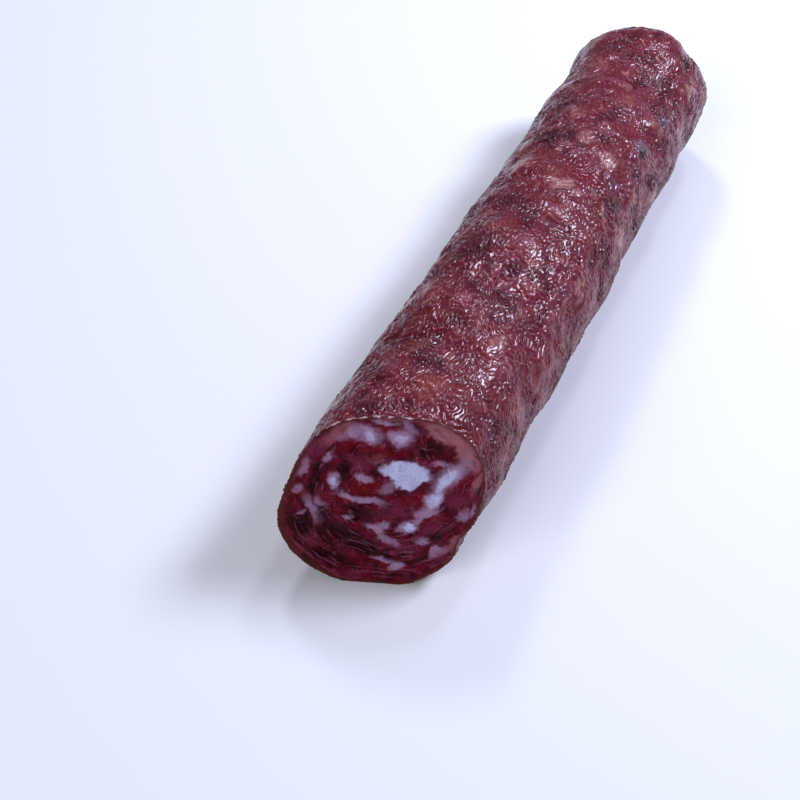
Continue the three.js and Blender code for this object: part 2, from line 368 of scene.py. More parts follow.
@dataclass(frozen=True)
class CasingShape:
    """The casing's form: the same sizes and formulas as the solid in the frame.

    Attributes:
        cut_radius: Radius at the cut.
        end_radius: Radius before the gathered end.
        body_length: From the middle of the cut to the start of the rounded end.
        dome_length: Length of the rounded end, without its nub.
        dome_squareness: Power of the superellipse that rounds the end.
        dome_skew: How much further along the end starts on the right.
        nub_radius: Radius of the gathered nub.
        nub_length: Length of the gathered nub.
        bow: Sideways bend at mid length.
        flattening: How far the underside is pressed in.
        rest_half_angle: Half angle of the strip that it rests on, in radians.
        cut_turn: Slope of the cut going across.
        cut_lean: Slope of the cut going up.
        section_fade: How far along the section's own waves reach from the cut.
        small_lumps: Number of small lumps spread over the casing.
        small_lump_mean: How far the lumps raise the casing on average, which is taken off again.
        least_height: Height of the lowest small lump.
        more_height: How much higher the highest one is.
        least_size: Size of the smallest small lump.
        more_size: How much larger the largest one is.
        rim_passes: How often the rim is measured.
        folds: Number of folds that run in to the nub.
        fold_depth: Depth of those folds.
        fold_wander: How far they wander round, in radians.
        fold_lean: Power that moves their deepest part towards the nub.
        pleat_depth: Depth of the nub's pleats, as a share of its radius.
        nub_bulge: How much the nub swells at mid length, as a share of its radius.
        nub_taper: Share of its squared radius that the nub loses at its tip.
    """

    cut_radius: float = 0.0206
    end_radius: float = 0.0194
    body_length: float = 0.160
    dome_length: float = 0.0152
    dome_squareness: float = 2.43
    dome_skew: float = 0.0019
    nub_radius: float = 0.0029
    nub_length: float = 0.0034
    bow: float = 0.0009
    flattening: float = 0.0006
    rest_half_angle: float = 0.2
    cut_turn: float = 0.39
    cut_lean: float = 0.42
    section_fade: float = 0.026
    small_lumps: int = 90
    small_lump_mean: float = 0.00014
    least_height: float = 0.0003
    more_height: float = 0.00045
    least_size: float = 0.0028
    more_size: float = 0.0028
    rim_passes: int = 8
    folds: int = 9
    fold_depth: float = 0.0015
    fold_wander: float = 0.9
    fold_lean: float = 1.3
    pleat_depth: float = 0.12
    nub_bulge: float = 0.25
    nub_taper: float = 0.6

    @property
    def cut_middle_y(self) -> float:
        """Where the middle of the cut lies, with the whole length centred on the origin.

        Returns:
            Its y in the row frame.
        """
        reach = math.hypot(self.cut_turn, self.cut_lean) * self.cut_radius
        whole = reach + self.body_length + self.dome_length + self.nub_length
        return reach - whole / 2

    def nominal_radius(self, along: Array) -> Array:
        """The radius falls evenly from the cut to the rounded end."""
        share = np.clip(along / self.body_length, 0.0, 1.0)
        return self.cut_radius + (self.end_radius - self.cut_radius) * share

    def axis_height(self, along: Array) -> Array:
        """Height of the axis over the floor: the radius less the flattening."""
        return self.nominal_radius(along) - self.flattening

    def axis_shift(self, along: Array) -> Array:
        """Sideways place of the axis: half a sine wave over the length."""
        share = np.clip(along / (self.body_length + self.dome_length), 0.0, 1.0)
        return self.bow * np.sin(np.pi * share)

    def scattered_lumps(self) -> list[Lump]:
        """The small lumps, placed and sized by fractions of irrational steps.

        Returns:
            The lumps.
        """
        length = self.body_length + self.dome_length
        return [
            Lump(
                self.least_height + self.more_height * fraction(step * SILVER_STEP),
                self.least_size + self.more_size * fraction(step * GOLDEN_STEP),
                length * fraction(0.5 + step / PLASTIC_NUMBER),
                360.0 * fraction(0.5 + step / PLASTIC_NUMBER**2),
            )
            for step in range(1, self.small_lumps + 1)
        ]

    def lump_height(self, angle: Array, along: Array) -> Array:
        """Height of all lumps at each place.

        Each lump is its height times e to the power of minus the distance squared over its size
        squared, with the distance round the casing taken at the cut's radius.

        Args:
            angle: Angles in radians.
            along: Distances along.

        Returns:
            Heights.
        """
        height = np.full(np.shape(along), -self.small_lump_mean)
        for lump in (*BIG_LUMPS, *self.scattered_lumps()):
            across = turn_between(math.radians(lump.angle), angle) * self.cut_radius
            height = height + lump.height * bump(np.hypot(along - lump.along, across) / lump.size)
        return height

    def radius(self, angle: Array, along: Array) -> Array:
        """Radius of the casing: the nominal one, plus swells, section waves, rises and lumps.

        Args:
            angle: Angles in radians.
            along: Distances along.

        Returns:
            Radii.
        """
        total = self.nominal_radius(along) + self.lump_height(angle, along)
        for swell in SWELLS:
            total = total + swell.height * np.sin(swell.round * angle + along / swell.length + swell.phase)
        for wave in CUT_SECTION:
            height = wave.cosine * np.cos(wave.round * angle) + wave.sine * np.sin(wave.round * angle)
            total = total + height * bump(along / self.section_fade)
        for rise in RISES:
            turn = turn_between(math.radians(rise.angle), angle) / math.radians(rise.spread)
            total = total + rise.height * bump((along - rise.along) / rise.reach) * bump(turn)
        return total

    def point(self, angle: Array, along: Array, radius: Array) -> Array:
        """Points of the casing, pressed flat on the floor along the strip that it rests on.

        Args:
            angle: Angles in radians.
            along: Distances along.
            radius: Radii.

        Returns:
            Points, with x, y and z on the last axis. y is still the distance along.
        """
        off_down = turn_between(-math.pi / 2, angle)
        rests = (np.abs(off_down) < self.rest_half_angle) & (along < self.body_length)
        pressed = np.maximum(radius, self.axis_height(along) / np.cos(off_down))
        reach = np.where(rests, pressed, radius)
        x = self.axis_shift(along) + reach * np.cos(angle)
        z = self.axis_height(along) + reach * np.sin(angle)
        return np.stack(np.broadcast_arrays(x, along, np.maximum(z, 0.0)), -1)

    def rim(self, angle: Array) -> Array:
        """Points of the casing on the plane of the cut, found by measuring it again and again.

        Args:
            angle: Angles in radians.

        Returns:
            Points, with y as the distance along.
        """
        along = np.zeros_like(angle)
        middle_height = self.axis_height(0.0)
        for _ in range(self.rim_passes):
            points = self.point(angle, along, self.radius(angle, along))
            along = self.cut_turn * points[:, 0] + self.cut_lean * (points[:, 2] - middle_height)
        points[:, 1] = along
        return points

    def surface(self, angle: Array, body_rows: int, dome_rows: int, nub_rows: int) -> Array:
        """The whole casing as rows of points, from the cut to the tip of the nub.

        The rounded end is a superellipse: across is the cosine and forward the sine of an even
        angle, both to the power of 2 over the squareness.

        Args:
            angle: Angles of the steps round, in radians.
            body_rows: Rows from the cut to the rounded end.
            dome_rows: Rows over the rounded end.
            nub_rows: Rows along the nub.

        Returns:
            Points by row and step, with y as the distance along.
        """
        rim = self.rim(angle)
        dome_start = self.body_length + self.dome_skew * np.cos(angle)

        share = np.linspace(0.0, 1.0, body_rows)[:, None]
        along = rim[:, 1] + (dome_start - rim[:, 1]) * share
        body = self.point(angle, along, self.radius(angle, along))
        body[0] = rim

        share = np.linspace(0.0, 1.0, dome_rows + 1)[1:, None]
        sweep = math.acos((self.nub_radius / self.end_radius) ** (self.dome_squareness / 2))
        across = np.cos(sweep * share) ** (2 / self.dome_squareness)
        forward = np.sin(sweep * share) ** (2 / self.dome_squareness)
        closing = (1.0 - across) / (1.0 - self.nub_radius / self.end_radius)
        along = dome_start + (self.body_length - dome_start) * closing + self.dome_length * forward
        crease = 0.5 - 0.5 * np.cos(self.folds * angle + self.fold_wander * np.sin(2 * angle))
        fold = self.fold_depth * crease * across * np.sin(np.pi * closing**self.fold_lean)
        full = self.radius(angle, along)
        dome = self.point(angle, along, full + (self.nub_radius - full) * closing - fold)

        share = np.linspace(0.0, 1.0, nub_rows + 1)[1:, None]
        along = self.body_length + self.dome_length + self.nub_length * share + 0.0 * angle
        bulge = 1.0 + self.nub_bulge * np.sin(np.pi * share)
        pleat = 1.0 + self.pleat_depth * np.cos(self.folds * angle)
        narrowing = np.sqrt(1 - self.nub_taper * share**4)
        nub = self.point(angle, along, self.nub_radius * bulge * pleat * narrowing)
        return np.concatenate([body, dome, nub])


@dataclass(frozen=True)
class Waves:
    """Random waves of about one length.

    Attributes:
        length: Their length.
        draw: Which random draw they come from.
        stretch: How much longer they are along the sheet than across.
        spread: How far other lengths are let through.
    """

    length: float
    draw: int
    stretch: float = 1.0
    spread: float = 0.5


@dataclass(frozen=True)
class Sheet:
    """A sheet of smooth random values that repeats over its width and its height.

    Attributes:
        width: Width of the sheet, which runs round the sausage.
        height: Height of the sheet, which runs along it.
        pitch: Distance between values.
        seed: Start of the random draws.
    """

    width: float
    height: float
    pitch: float
    seed: int

    @property
    def shape(self) -> tuple[int, int]:
        """Number of rows and columns."""
        return round(self.height / self.pitch), round(self.width / self.pitch)

    def filtered(self, values: Array, waves: Waves) -> Array:
        """Keeps the waves near one length and scales them to a standard deviation of 1.

        The strength of a wave is e to the power of minus ((f / f0 - 1) / spread) squared, where f is
        its frequency, with the part along the sheet multiplied by the stretch, and f0 is one over
        the length that is kept.

        Args:
            values: Values of the whole sheet.
            waves: The waves that are kept.

        Returns:
            Values of the whole sheet.
        """
        rows, columns = self.shape
        along = np.fft.fftfreq(rows, self.height / rows)[:, None] * waves.stretch
        across = np.fft.rfftfreq(columns, self.width / columns)[None, :]
        strength = bump((np.hypot(along, across) * waves.length - 1.0) / waves.spread)
        kept = np.fft.irfft2(np.fft.rfft2(values) * strength, s=(rows, columns))
        return kept / kept.std()

    def grain(self, waves: Waves) -> Array:
        """Random waves over the whole sheet, with a standard deviation of 1."""
        draws = np.random.default_rng(self.seed + waves.draw).standard_normal(self.shape)
        return self.filtered(draws, waves)

    def buckled(self, waves: Waves, passes: int) -> Array:
        """Ridges like those of a skin that has shrunk over its filling.

        Random waves are cut off at both sides by the tanh of twice their value and filtered again,
        pass after pass, which joins them into ridges of even width.

        Args:
            waves: The waves, as long as the distance between ridges.
            passes: Number of passes.

        Returns:
            Values of the whole sheet, with a standard deviation of 1.
        """
        values = self.grain(waves)
        for _ in range(passes):
            values = self.filtered(np.tanh(2.0 * values), waves)
        return values

    def read(self, values: Array, across: Array, along: Array) -> Array:
        """Reads values at any place, straight between the nearest four.

        Args:
            values: Values of the whole sheet.
            across: Places across the sheet.
            along: Places along the sheet.

        Returns:
            One value for each place.
        """
        rows, columns = self.shape
        column = fraction(across / self.width) * columns
        row = fraction(along / self.height) * rows
        left = np.floor(column).astype(int)
        low = np.floor(row).astype(int)
        right_share = column - left
        high_share = row - low
        left, low = left % columns, low % rows
        right, high = (left + 1) % columns, (low + 1) % rows
        under = values[low, left] * (1 - right_share) + values[low, right] * right_share
        over = values[high, left] * (1 - right_share) + values[high, right] * right_share
        return under * (1 - high_share) + over * high_share

    def sample(self, waves: Waves, across: Array, along: Array) -> Array:
        """Random waves at any place across and along the sheet."""
        return self.read(self.grain(waves), across, along)


def paint(patches: tuple[Patch, ...], places: tuple[Array, Array], width_of_turn: float) -> dict[str, Array]:
    """Strength of each tone at each place, as the strongest of its patches.

    A patch is its strength times e to the power of minus d to the fourth, where d is the distance
    from its middle as a share of its half length and half width.

    Args:
        patches: The patches.
        places: Places in the patches' first and second directions, in metres.
        width_of_turn: Metres for one degree of a patch's second place, or 0 where it is in metres.

    Returns:
        For each attribute's name, values with three channels on the last axis.
    """
    first, second = places
    tones = {tone.value[0]: np.zeros((*first.shape, 3)) for tone in Tone}
    for patch in patches:
        if width_of_turn:
            whole = 360.0 * width_of_turn
            away = second - patch.second * width_of_turn
            away = away - whole * np.round(away / whole)
        else:
            away = second - patch.second
        ahead = first - patch.first
        turn = math.radians(patch.turn)
        lengthwise = (ahead * math.cos(turn) + away * math.sin(turn)) / patch.length
        crosswise = (away * math.cos(turn) - ahead * math.sin(turn)) / patch.width
        name, channel = patch.tone.value
        strength = patch.strength * plateau(np.hypot(lengthwise, crosswise))
        tones[name][..., channel] = np.maximum(tones[name][..., channel], strength)
    return tones


def surface_normals(points: Array) -> Array:
    """Unit normals of a grid of points whose rows close on themselves.

    The normal is the step along the rows crossed with the step round.

    Args:
        points: Points by row and step.

    Returns:
        Normals by row and step.
    """
    round_step = np.roll(points, -1, 1) - np.roll(points, 1, 1)
    along_step = np.gradient(points, axis=0)
    normals = np.cross(along_step, round_step)
    return normals / np.linalg.norm(normals, axis=-1, keepdims=True)


@dataclass
class GridMesh:
    """A mesh made of rows of points, with each row closed on itself.

    The faces look the way that the step along the rows crossed with the step round points, or the
    other way where they are turned over.

    Attributes:
        name: Name of the piece.
        points: Points by row and step.
        values: Attributes by name: one number or three for each point.
        normals: Normals by row and step, or None to work them out.
        tip: A last point that closes the far side, or None.
        looped: True where the last row joins the first one.
        turned_over: True where the faces are turned over.
    """

    name: str
    points: Array
    values: dict[str, Array]
    normals: Array | None = None
    tip: Array | None = None
    looped: bool = False
    turned_over: bool = False

    def faces(self) -> tuple[Array, Array]:
        """Corner numbers and UVs of the quads, row by row, and then of the triangles at the tip.

        Returns:
            The point at each corner, and its place in the grid as shares of width and height.
        """
        rows, steps = self.points.shape[:2]
        spans = rows if self.looped else rows - 1
        row, step = np.mgrid[0:spans, 0:steps]
        corner_rows = np.stack([row, row + 1, row + 1, row], -1).reshape(-1, 4)
        corner_steps = np.stack([step, step, step + 1, step + 1], -1).reshape(-1, 4)
        if self.turned_over:
            corner_rows = corner_rows[:, ::-1]
            corner_steps = corner_steps[:, ::-1]
        corner_rows = corner_rows.ravel()
        corner_steps = corner_steps.ravel()
        corners = corner_rows % rows * steps + corner_steps % steps
        if self.tip is not None:
            step = np.arange(steps)
            around = [step + 1, step, step] if self.turned_over else [step, step, step + 1]
            tip_steps = np.stack(around, -1).ravel()
            is_tip = np.tile([False, True, False], steps)
            tip_corners = np.where(is_tip, rows * steps, (rows - 1) * steps + tip_steps % steps)
            corners = np.concatenate([corners, tip_corners])
            corner_rows = np.concatenate([corner_rows, np.where(is_tip, rows, rows - 1)])
            corner_steps = np.concatenate([corner_steps, tip_steps])
        return corners, np.stack([corner_steps / steps, corner_rows / corner_rows.max()], -1)

    def build(self) -> bpy.types.Object:
        """Makes the object, smooth, with its UV map, attributes and normals.

        Returns:
            The object, at the origin.
        """
        rows, steps = self.points.shape[:2]
        corners, uv = self.faces()
        points = self.points.reshape(-1, 3)
        quads = (rows if self.looped else rows - 1) * steps
        starts = np.arange(quads) * 4
        if self.tip is not None:
            points = np.concatenate([points, self.tip[None]])
            starts = np.concatenate([starts, quads * 4 + np.arange(steps) * 3])

        mesh = bpy.data.meshes.new(self.name)
        mesh.vertices.add(len(points))
        mesh.vertices.foreach_set("co", points.astype(np.float32).ravel())
        mesh.loops.add(len(corners))
        mesh.loops.foreach_set("vertex_index", corners.astype(np.int32))
        mesh.polygons.add(len(starts))
        mesh.polygons.foreach_set("loop_start", starts.astype(np.int32))
        mesh.update(calc_edges=True)
        mesh.uv_layers.new(name=UV_NAME).data.foreach_set("uv", uv.astype(np.float32).ravel())
        for name, value in self.values.items():
            self.add_attribute(mesh, name, value)
        mesh.shade_smooth()
        if self.normals is not None:
            normals = self.normals.reshape(-1, 3)
            if self.tip is not None:
                normals = np.concatenate([normals, [normals[-steps:].mean(0)]])
            mesh.normals_split_custom_set_from_vertices(normals.tolist())
        piece = bpy.data.objects.new(self.name, mesh)
        bpy.context.scene.collection.objects.link(piece)
        return piece

    def add_attribute(self, mesh: bpy.types.Mesh, name: str, value: Array) -> None:
        """Stores one number or a colour for each point.

        Args:
            mesh: The mesh.
            name: Name of the attribute.
            value: Values by row and step, with three channels for a colour.
        """
        colour = value.ndim == 3
        flat = value.reshape(-1, 3) if colour else value.reshape(-1, 1)
        if self.tip is not None:
            flat = np.concatenate([flat, flat[-1:]])
        if colour:
            flat = np.concatenate([flat, np.ones((len(flat), 1))], -1)
        kind = "FLOAT_COLOR" if colour else "FLOAT"
        attribute = mesh.attributes.new(name, kind, "POINT")
        attribute.data.foreach_set("color" if colour else "value", flat.astype(np.float32).ravel())


class NodeSketch:
    """Adds nodes to one node tree and links them."""

    def __init__(self, tree: bpy.types.NodeTree) -> None:
        """Keeps the tree."""
        self.tree = tree

    def put(self, socket: bpy.types.NodeSocket, value: object) -> None:
        """Links a socket to another one, or sets its value.

        Args:
            socket: The input.
            value: The output that feeds it, or its own value.
        """
        if isinstance(value, bpy.types.NodeSocket):
            self.tree.links.new(value, socket)
        else:
            socket.default_value = value

    def node(self, kind: str, inputs: dict | None = None, **settings: object) -> bpy.types.Node:
        """Adds a node.

        Args:
            kind: Blender's name for the node's type.
            inputs: Values or sockets by the input's name or number.
            settings: The node's own settings.

        Returns:
            The node.
        """
        node = self.tree.nodes.new(kind)
        for name, value in settings.items():
            setattr(node, name, value)
        for name, value in (inputs or {}).items():
            self.put(node.inputs[name], value)
        return node

    def maths(self, operation: str, first: object, second: object = 0.0) -> bpy.types.NodeSocket:
        """The result of a Math node."""
        return self.node("ShaderNodeMath", {0: first, 1: second}, operation=operation).outputs[0]

    def spread(
        self, value: object, low: float, high: float, to_low: float, to_high: float
    ) -> bpy.types.NodeSocket:
        """Maps a range of values smoothly to another range."""
        inputs = {"Value": value, "From Min": low, "From Max": high, "To Min": to_low, "To Max": to_high}
        return self.node("ShaderNodeMapRange", inputs, interpolation_type="SMOOTHSTEP").outputs[0]

    def mix(self, amount: object, first: object, second: object) -> bpy.types.NodeSocket:
        """Mixes two colours.

        Args:
            amount: Share of the second colour.
            first: First colour.
            second: Second colour.

        Returns:
            The mixed colour.
        """
        node = self.node("ShaderNodeMix", data_type="RGBA", clamp_factor=True)
        self.put(node.inputs[0], amount)
        self.put(node.inputs[6], first)
        self.put(node.inputs[7], second)
        return node.outputs[2]

    def noise(self, scale: object, detail: float, roughness: float) -> bpy.types.NodeSocket:
        """Noise on Object coordinates.

        Args:
            scale: Waves per metre.
            detail: Number of finer octaves.
            roughness: Weight of each finer octave.

        Returns:
            The noise, about one half on average.
        """
        place = self.node("ShaderNodeTexCoord").outputs["Object"]
        inputs = {"Vector": place, "Scale": scale, "Detail": detail, "Roughness": roughness}
        return self.node("ShaderNodeTexNoise", inputs).outputs["Fac"]

    def attribute(self, name: str) -> bpy.types.Node:
        """A node that reads one of the mesh's attributes."""
        return self.node("ShaderNodeAttribute", attribute_name=name)

    def channels(self, name: str) -> list[bpy.types.NodeSocket]:
        """The three channels of a colour attribute."""
        split = self.node("ShaderNodeSeparateColor", {0: self.attribute(name).outputs["Color"]})
        return list(split.outputs)[:3]

    def tones(self) -> dict[Tone, bpy.types.NodeSocket]:
        """How strong each tone is, read from the mesh."""
        channels = {name: self.channels(name) for name in dict.fromkeys(tone.value[0] for tone in Tone)}
        return {tone: channels[tone.value[0]][tone.value[1]] for tone in Tone}

    def bumps(self, height: object, strength: float, distance: float) -> bpy.types.NodeSocket:
        """The normal of a surface with fine bumps."""
        inputs = {"Strength": strength, "Distance": distance, "Height": height}
        return self.node("ShaderNodeBump", inputs).outputs["Normal"]


def new_group(name: str, inputs: dict[str, float], outputs: tuple[str, ...]) -> bpy.types.NodeTree:
    """Starts a shader node group.

    Args:
        name: Name of the group.
        inputs: Default values by the input's name.
        outputs: Names of the outputs.

    Returns:
        The group, with its Group Input and Group Output nodes.
    """
    group = bpy.data.node_groups.new(name, "ShaderNodeTree")
    for title, value in inputs.items():
        socket = group.interface.new_socket(title, in_out="INPUT", socket_type="NodeSocketFloat")
        socket.default_value = value
    for title in outputs:
        group.interface.new_socket(title, in_out="OUTPUT", socket_type="NodeSocketFloat")
    group.nodes.new("NodeGroupInput")
    group.nodes.new("NodeGroupOutput")
    return group


def ragged_edge_group() -> bpy.types.NodeTree:
    """A mask with a ragged edge: the amount plus noise, stepped smoothly about one half.

    Returns:
        The group, with inputs Amount, Scale, Ragged and Soft and the output Mask.
    """
    inputs = {"Amount": 0.0, "Scale": 900.0, "Ragged": 0.3, "Soft": 0.1}
    group = new_group("Ragged edge", inputs, ("Mask",))
    sketch = NodeSketch(group)
    given = group.nodes["Group Input"].outputs
    noise = sketch.noise(given["Scale"], 4.0, 0.6)
    wander = sketch.maths("MULTIPLY", sketch.maths("SUBTRACT", noise, 0.5), given["Ragged"])
    moved = sketch.maths("ADD", given["Amount"], wander)
    low = sketch.maths("SUBTRACT", 0.5, given["Soft"])
    high = sketch.maths("ADD", 0.5, given["Soft"])
    step = sketch.node(
        "ShaderNodeMapRange",
        {"Value": moved, "From Min": low, "From Max": high},
        interpolation_type="SMOOTHSTEP",
    )
    sketch.put(group.nodes["Group Output"].inputs["Mask"], step.outputs[0])
    return group


def moist_film_group() -> bpy.types.NodeTree:
    """A film of fat and moisture: roughness that comes and goes, and a fine unevenness.

    Returns:
        The group, with inputs Scale, Glossy and Dull and the outputs Roughness and Height.
    """
    inputs = {"Scale": 400.0, "Glossy": 0.2, "Dull": 0.5}
    group = new_group("Moist film", inputs, ("Roughness", "Height"))
    sketch = NodeSketch(group)
    given = group.nodes["Group Input"].outputs
    patches = sketch.spread(sketch.noise(given["Scale"], 4.0, 0.6), 0.35, 0.65, 0.0, 1.0)
    span = sketch.maths("SUBTRACT", given["Dull"], given["Glossy"])
    roughness = sketch.maths("ADD", given["Glossy"], sketch.maths("MULTIPLY", patches, span))
    fine = sketch.noise(sketch.maths("MULTIPLY", given["Scale"], 9.0), 3.0, 0.6)
    sketch.put(group.nodes["Group Output"].inputs["Roughness"], roughness)
    sketch.put(group.nodes["Group Output"].inputs["Height"], fine)
    return group


def fine_creases_group() -> bpy.types.NodeTree:
    """Fine creases, drawn out along the sausage and bent by slower noise.

    Returns:
        The group, with inputs Scale and Stretch and the output Height.
    """
    inputs = {"Scale": 2000.0, "Stretch": 2.4}
    group = new_group("Fine creases", inputs, ("Height",))
    sketch = NodeSketch(group)
    given = group.nodes["Group Input"].outputs
    bends_per_metre = 260.0
    bend_reach = (0.0012, 0.0012, 0.0012)
    place = sketch.node("ShaderNodeTexCoord").outputs["Object"]
    slow = sketch.node("ShaderNodeTexNoise", {"Vector": place, "Scale": bends_per_metre, "Detail": 1.0})
    bend = {0: slow.outputs["Color"], 1: bend_reach}
    bend = sketch.node("ShaderNodeVectorMath", bend, operation="MULTIPLY").outputs[0]
    bent = sketch.node("ShaderNodeVectorMath", {0: place, 1: bend}, operation="ADD").outputs[0]
    lengthwise = sketch.maths("DIVIDE", 1.0, given["Stretch"])
    drawn = sketch.node("ShaderNodeCombineXYZ", {0: 1.0, 1: lengthwise, 2: 1.0}).outputs[0]
    scaled = sketch.node("ShaderNodeVectorMath", {0: bent, 1: drawn}, operation="MULTIPLY").outputs[0]
    inputs = {"Vector": scaled, "Scale": given["Scale"], "Detail": 1.5, "Roughness": 0.5}
    noise = sketch.node("ShaderNodeTexNoise", inputs).outputs["Fac"]
    sketch.put(group.nodes["Group Output"].inputs["Height"], sketch.spread(noise, 0.3, 0.7, 0.0, 1.0))
    return group


@dataclass(frozen=True)
class Ramp:
    """A mask that goes smoothly from 0, where a value is at the start, to the most, where it is full."""

    start: float
    full: float
    most: float

    def mask(self, sketch: NodeSketch, value: object) -> bpy.types.NodeSocket:
        """Places the mask in a material."""
        return sketch.spread(value, self.start, self.full, 0.0, self.most)


@dataclass(frozen=True)
class Clouds:
    """A mask of noise: waves per metre, octaves, weight of the finer ones, and the ramp over it."""

    scale: float
    detail: float
    roughness: float
    ramp: Ramp

    def mask(self, sketch: NodeSketch) -> bpy.types.NodeSocket:
        """Places the mask in a material."""
        return self.ramp.mask(sketch, sketch.noise(self.scale, self.detail, self.roughness))


@dataclass(frozen=True)
class Layer:
    """A tone that lies over the colours before it, with a ragged edge.

    Attributes:
        tone: The tone in the mesh that it shows.
        colour: Its colour.
        scale: Waves of its edge per metre.
        ragged: How far its edge wanders.
        soft: Half width of its edge.
        most: How much it covers at its strongest.
    """

    tone: Tone
    colour: tuple
    scale: float
    ragged: float
    soft: float
    most: float


@dataclass(frozen=True)
class SharedEffects:
    """The node groups that the materials share."""

    ragged_edge: bpy.types.NodeTree
    moist_film: bpy.types.NodeTree
    fine_creases: bpy.types.NodeTree

    @classmethod
    def build(cls) -> "SharedEffects":
        """Builds each group once."""
        return cls(ragged_edge_group(), moist_film_group(), fine_creases_group())

    def place(self, sketch: NodeSketch, group: bpy.types.NodeTree, **values: object) -> bpy.types.Node:
        """Places a group in a material.

        Args:
            sketch: The material's nodes.
            group: The group.
            values: Numbers or sockets by the group's inputs.

        Returns:
            The group's node.
        """
        node = sketch.node("ShaderNodeGroup", node_tree=group)
        for name, value in values.items():
            sketch.put(node.inputs[name], value)
        return node

    def lay(self, sketch: NodeSketch, colour: object, layers: tuple[Layer, ...], tones: dict) -> object:
        """Lays tones over a colour, one after another.

        Args:
            sketch: The material's nodes.
            colour: The colour below.
            layers: The layers, lowest first.
            tones: The socket of each tone's strength.

        Returns:
            The colour's socket.
        """
        for layer in layers:
            edge = {"Scale": layer.scale, "Ragged": layer.ragged, "Soft": layer.soft}
            mask = self.place(sketch, self.ragged_edge, Amount=tones[layer.tone], **edge).outputs["Mask"]
            colour = sketch.mix(sketch.maths("MULTIPLY", mask, layer.most), colour, layer.colour)
        return colour


def new_material(name: str) -> tuple[bpy.types.Material, NodeSketch, bpy.types.Node]:
    """Starts a material with one Principled shader.

    Args:
        name: Name of the material.

    Returns:
        The material, its nodes and the shader.
    """
    material = bpy.data.materials.new(name)
    material.use_nodes = True
    sketch = NodeSketch(material.node_tree)
    return material, sketch, material.node_tree.nodes["Principled BSDF"]


def join(sketch: NodeSketch, shader: bpy.types.Node, **values: object) -> None:
    """Feeds the shader's inputs, named with _ for a space, from sockets or plain values.

    Args:
        sketch: The material's nodes.
        shader: The shader.
        values: Sockets or values by the input's name.
    """
    for name, value in values.items():
        sketch.put(shader.inputs[name.replace("_", " ")], value)


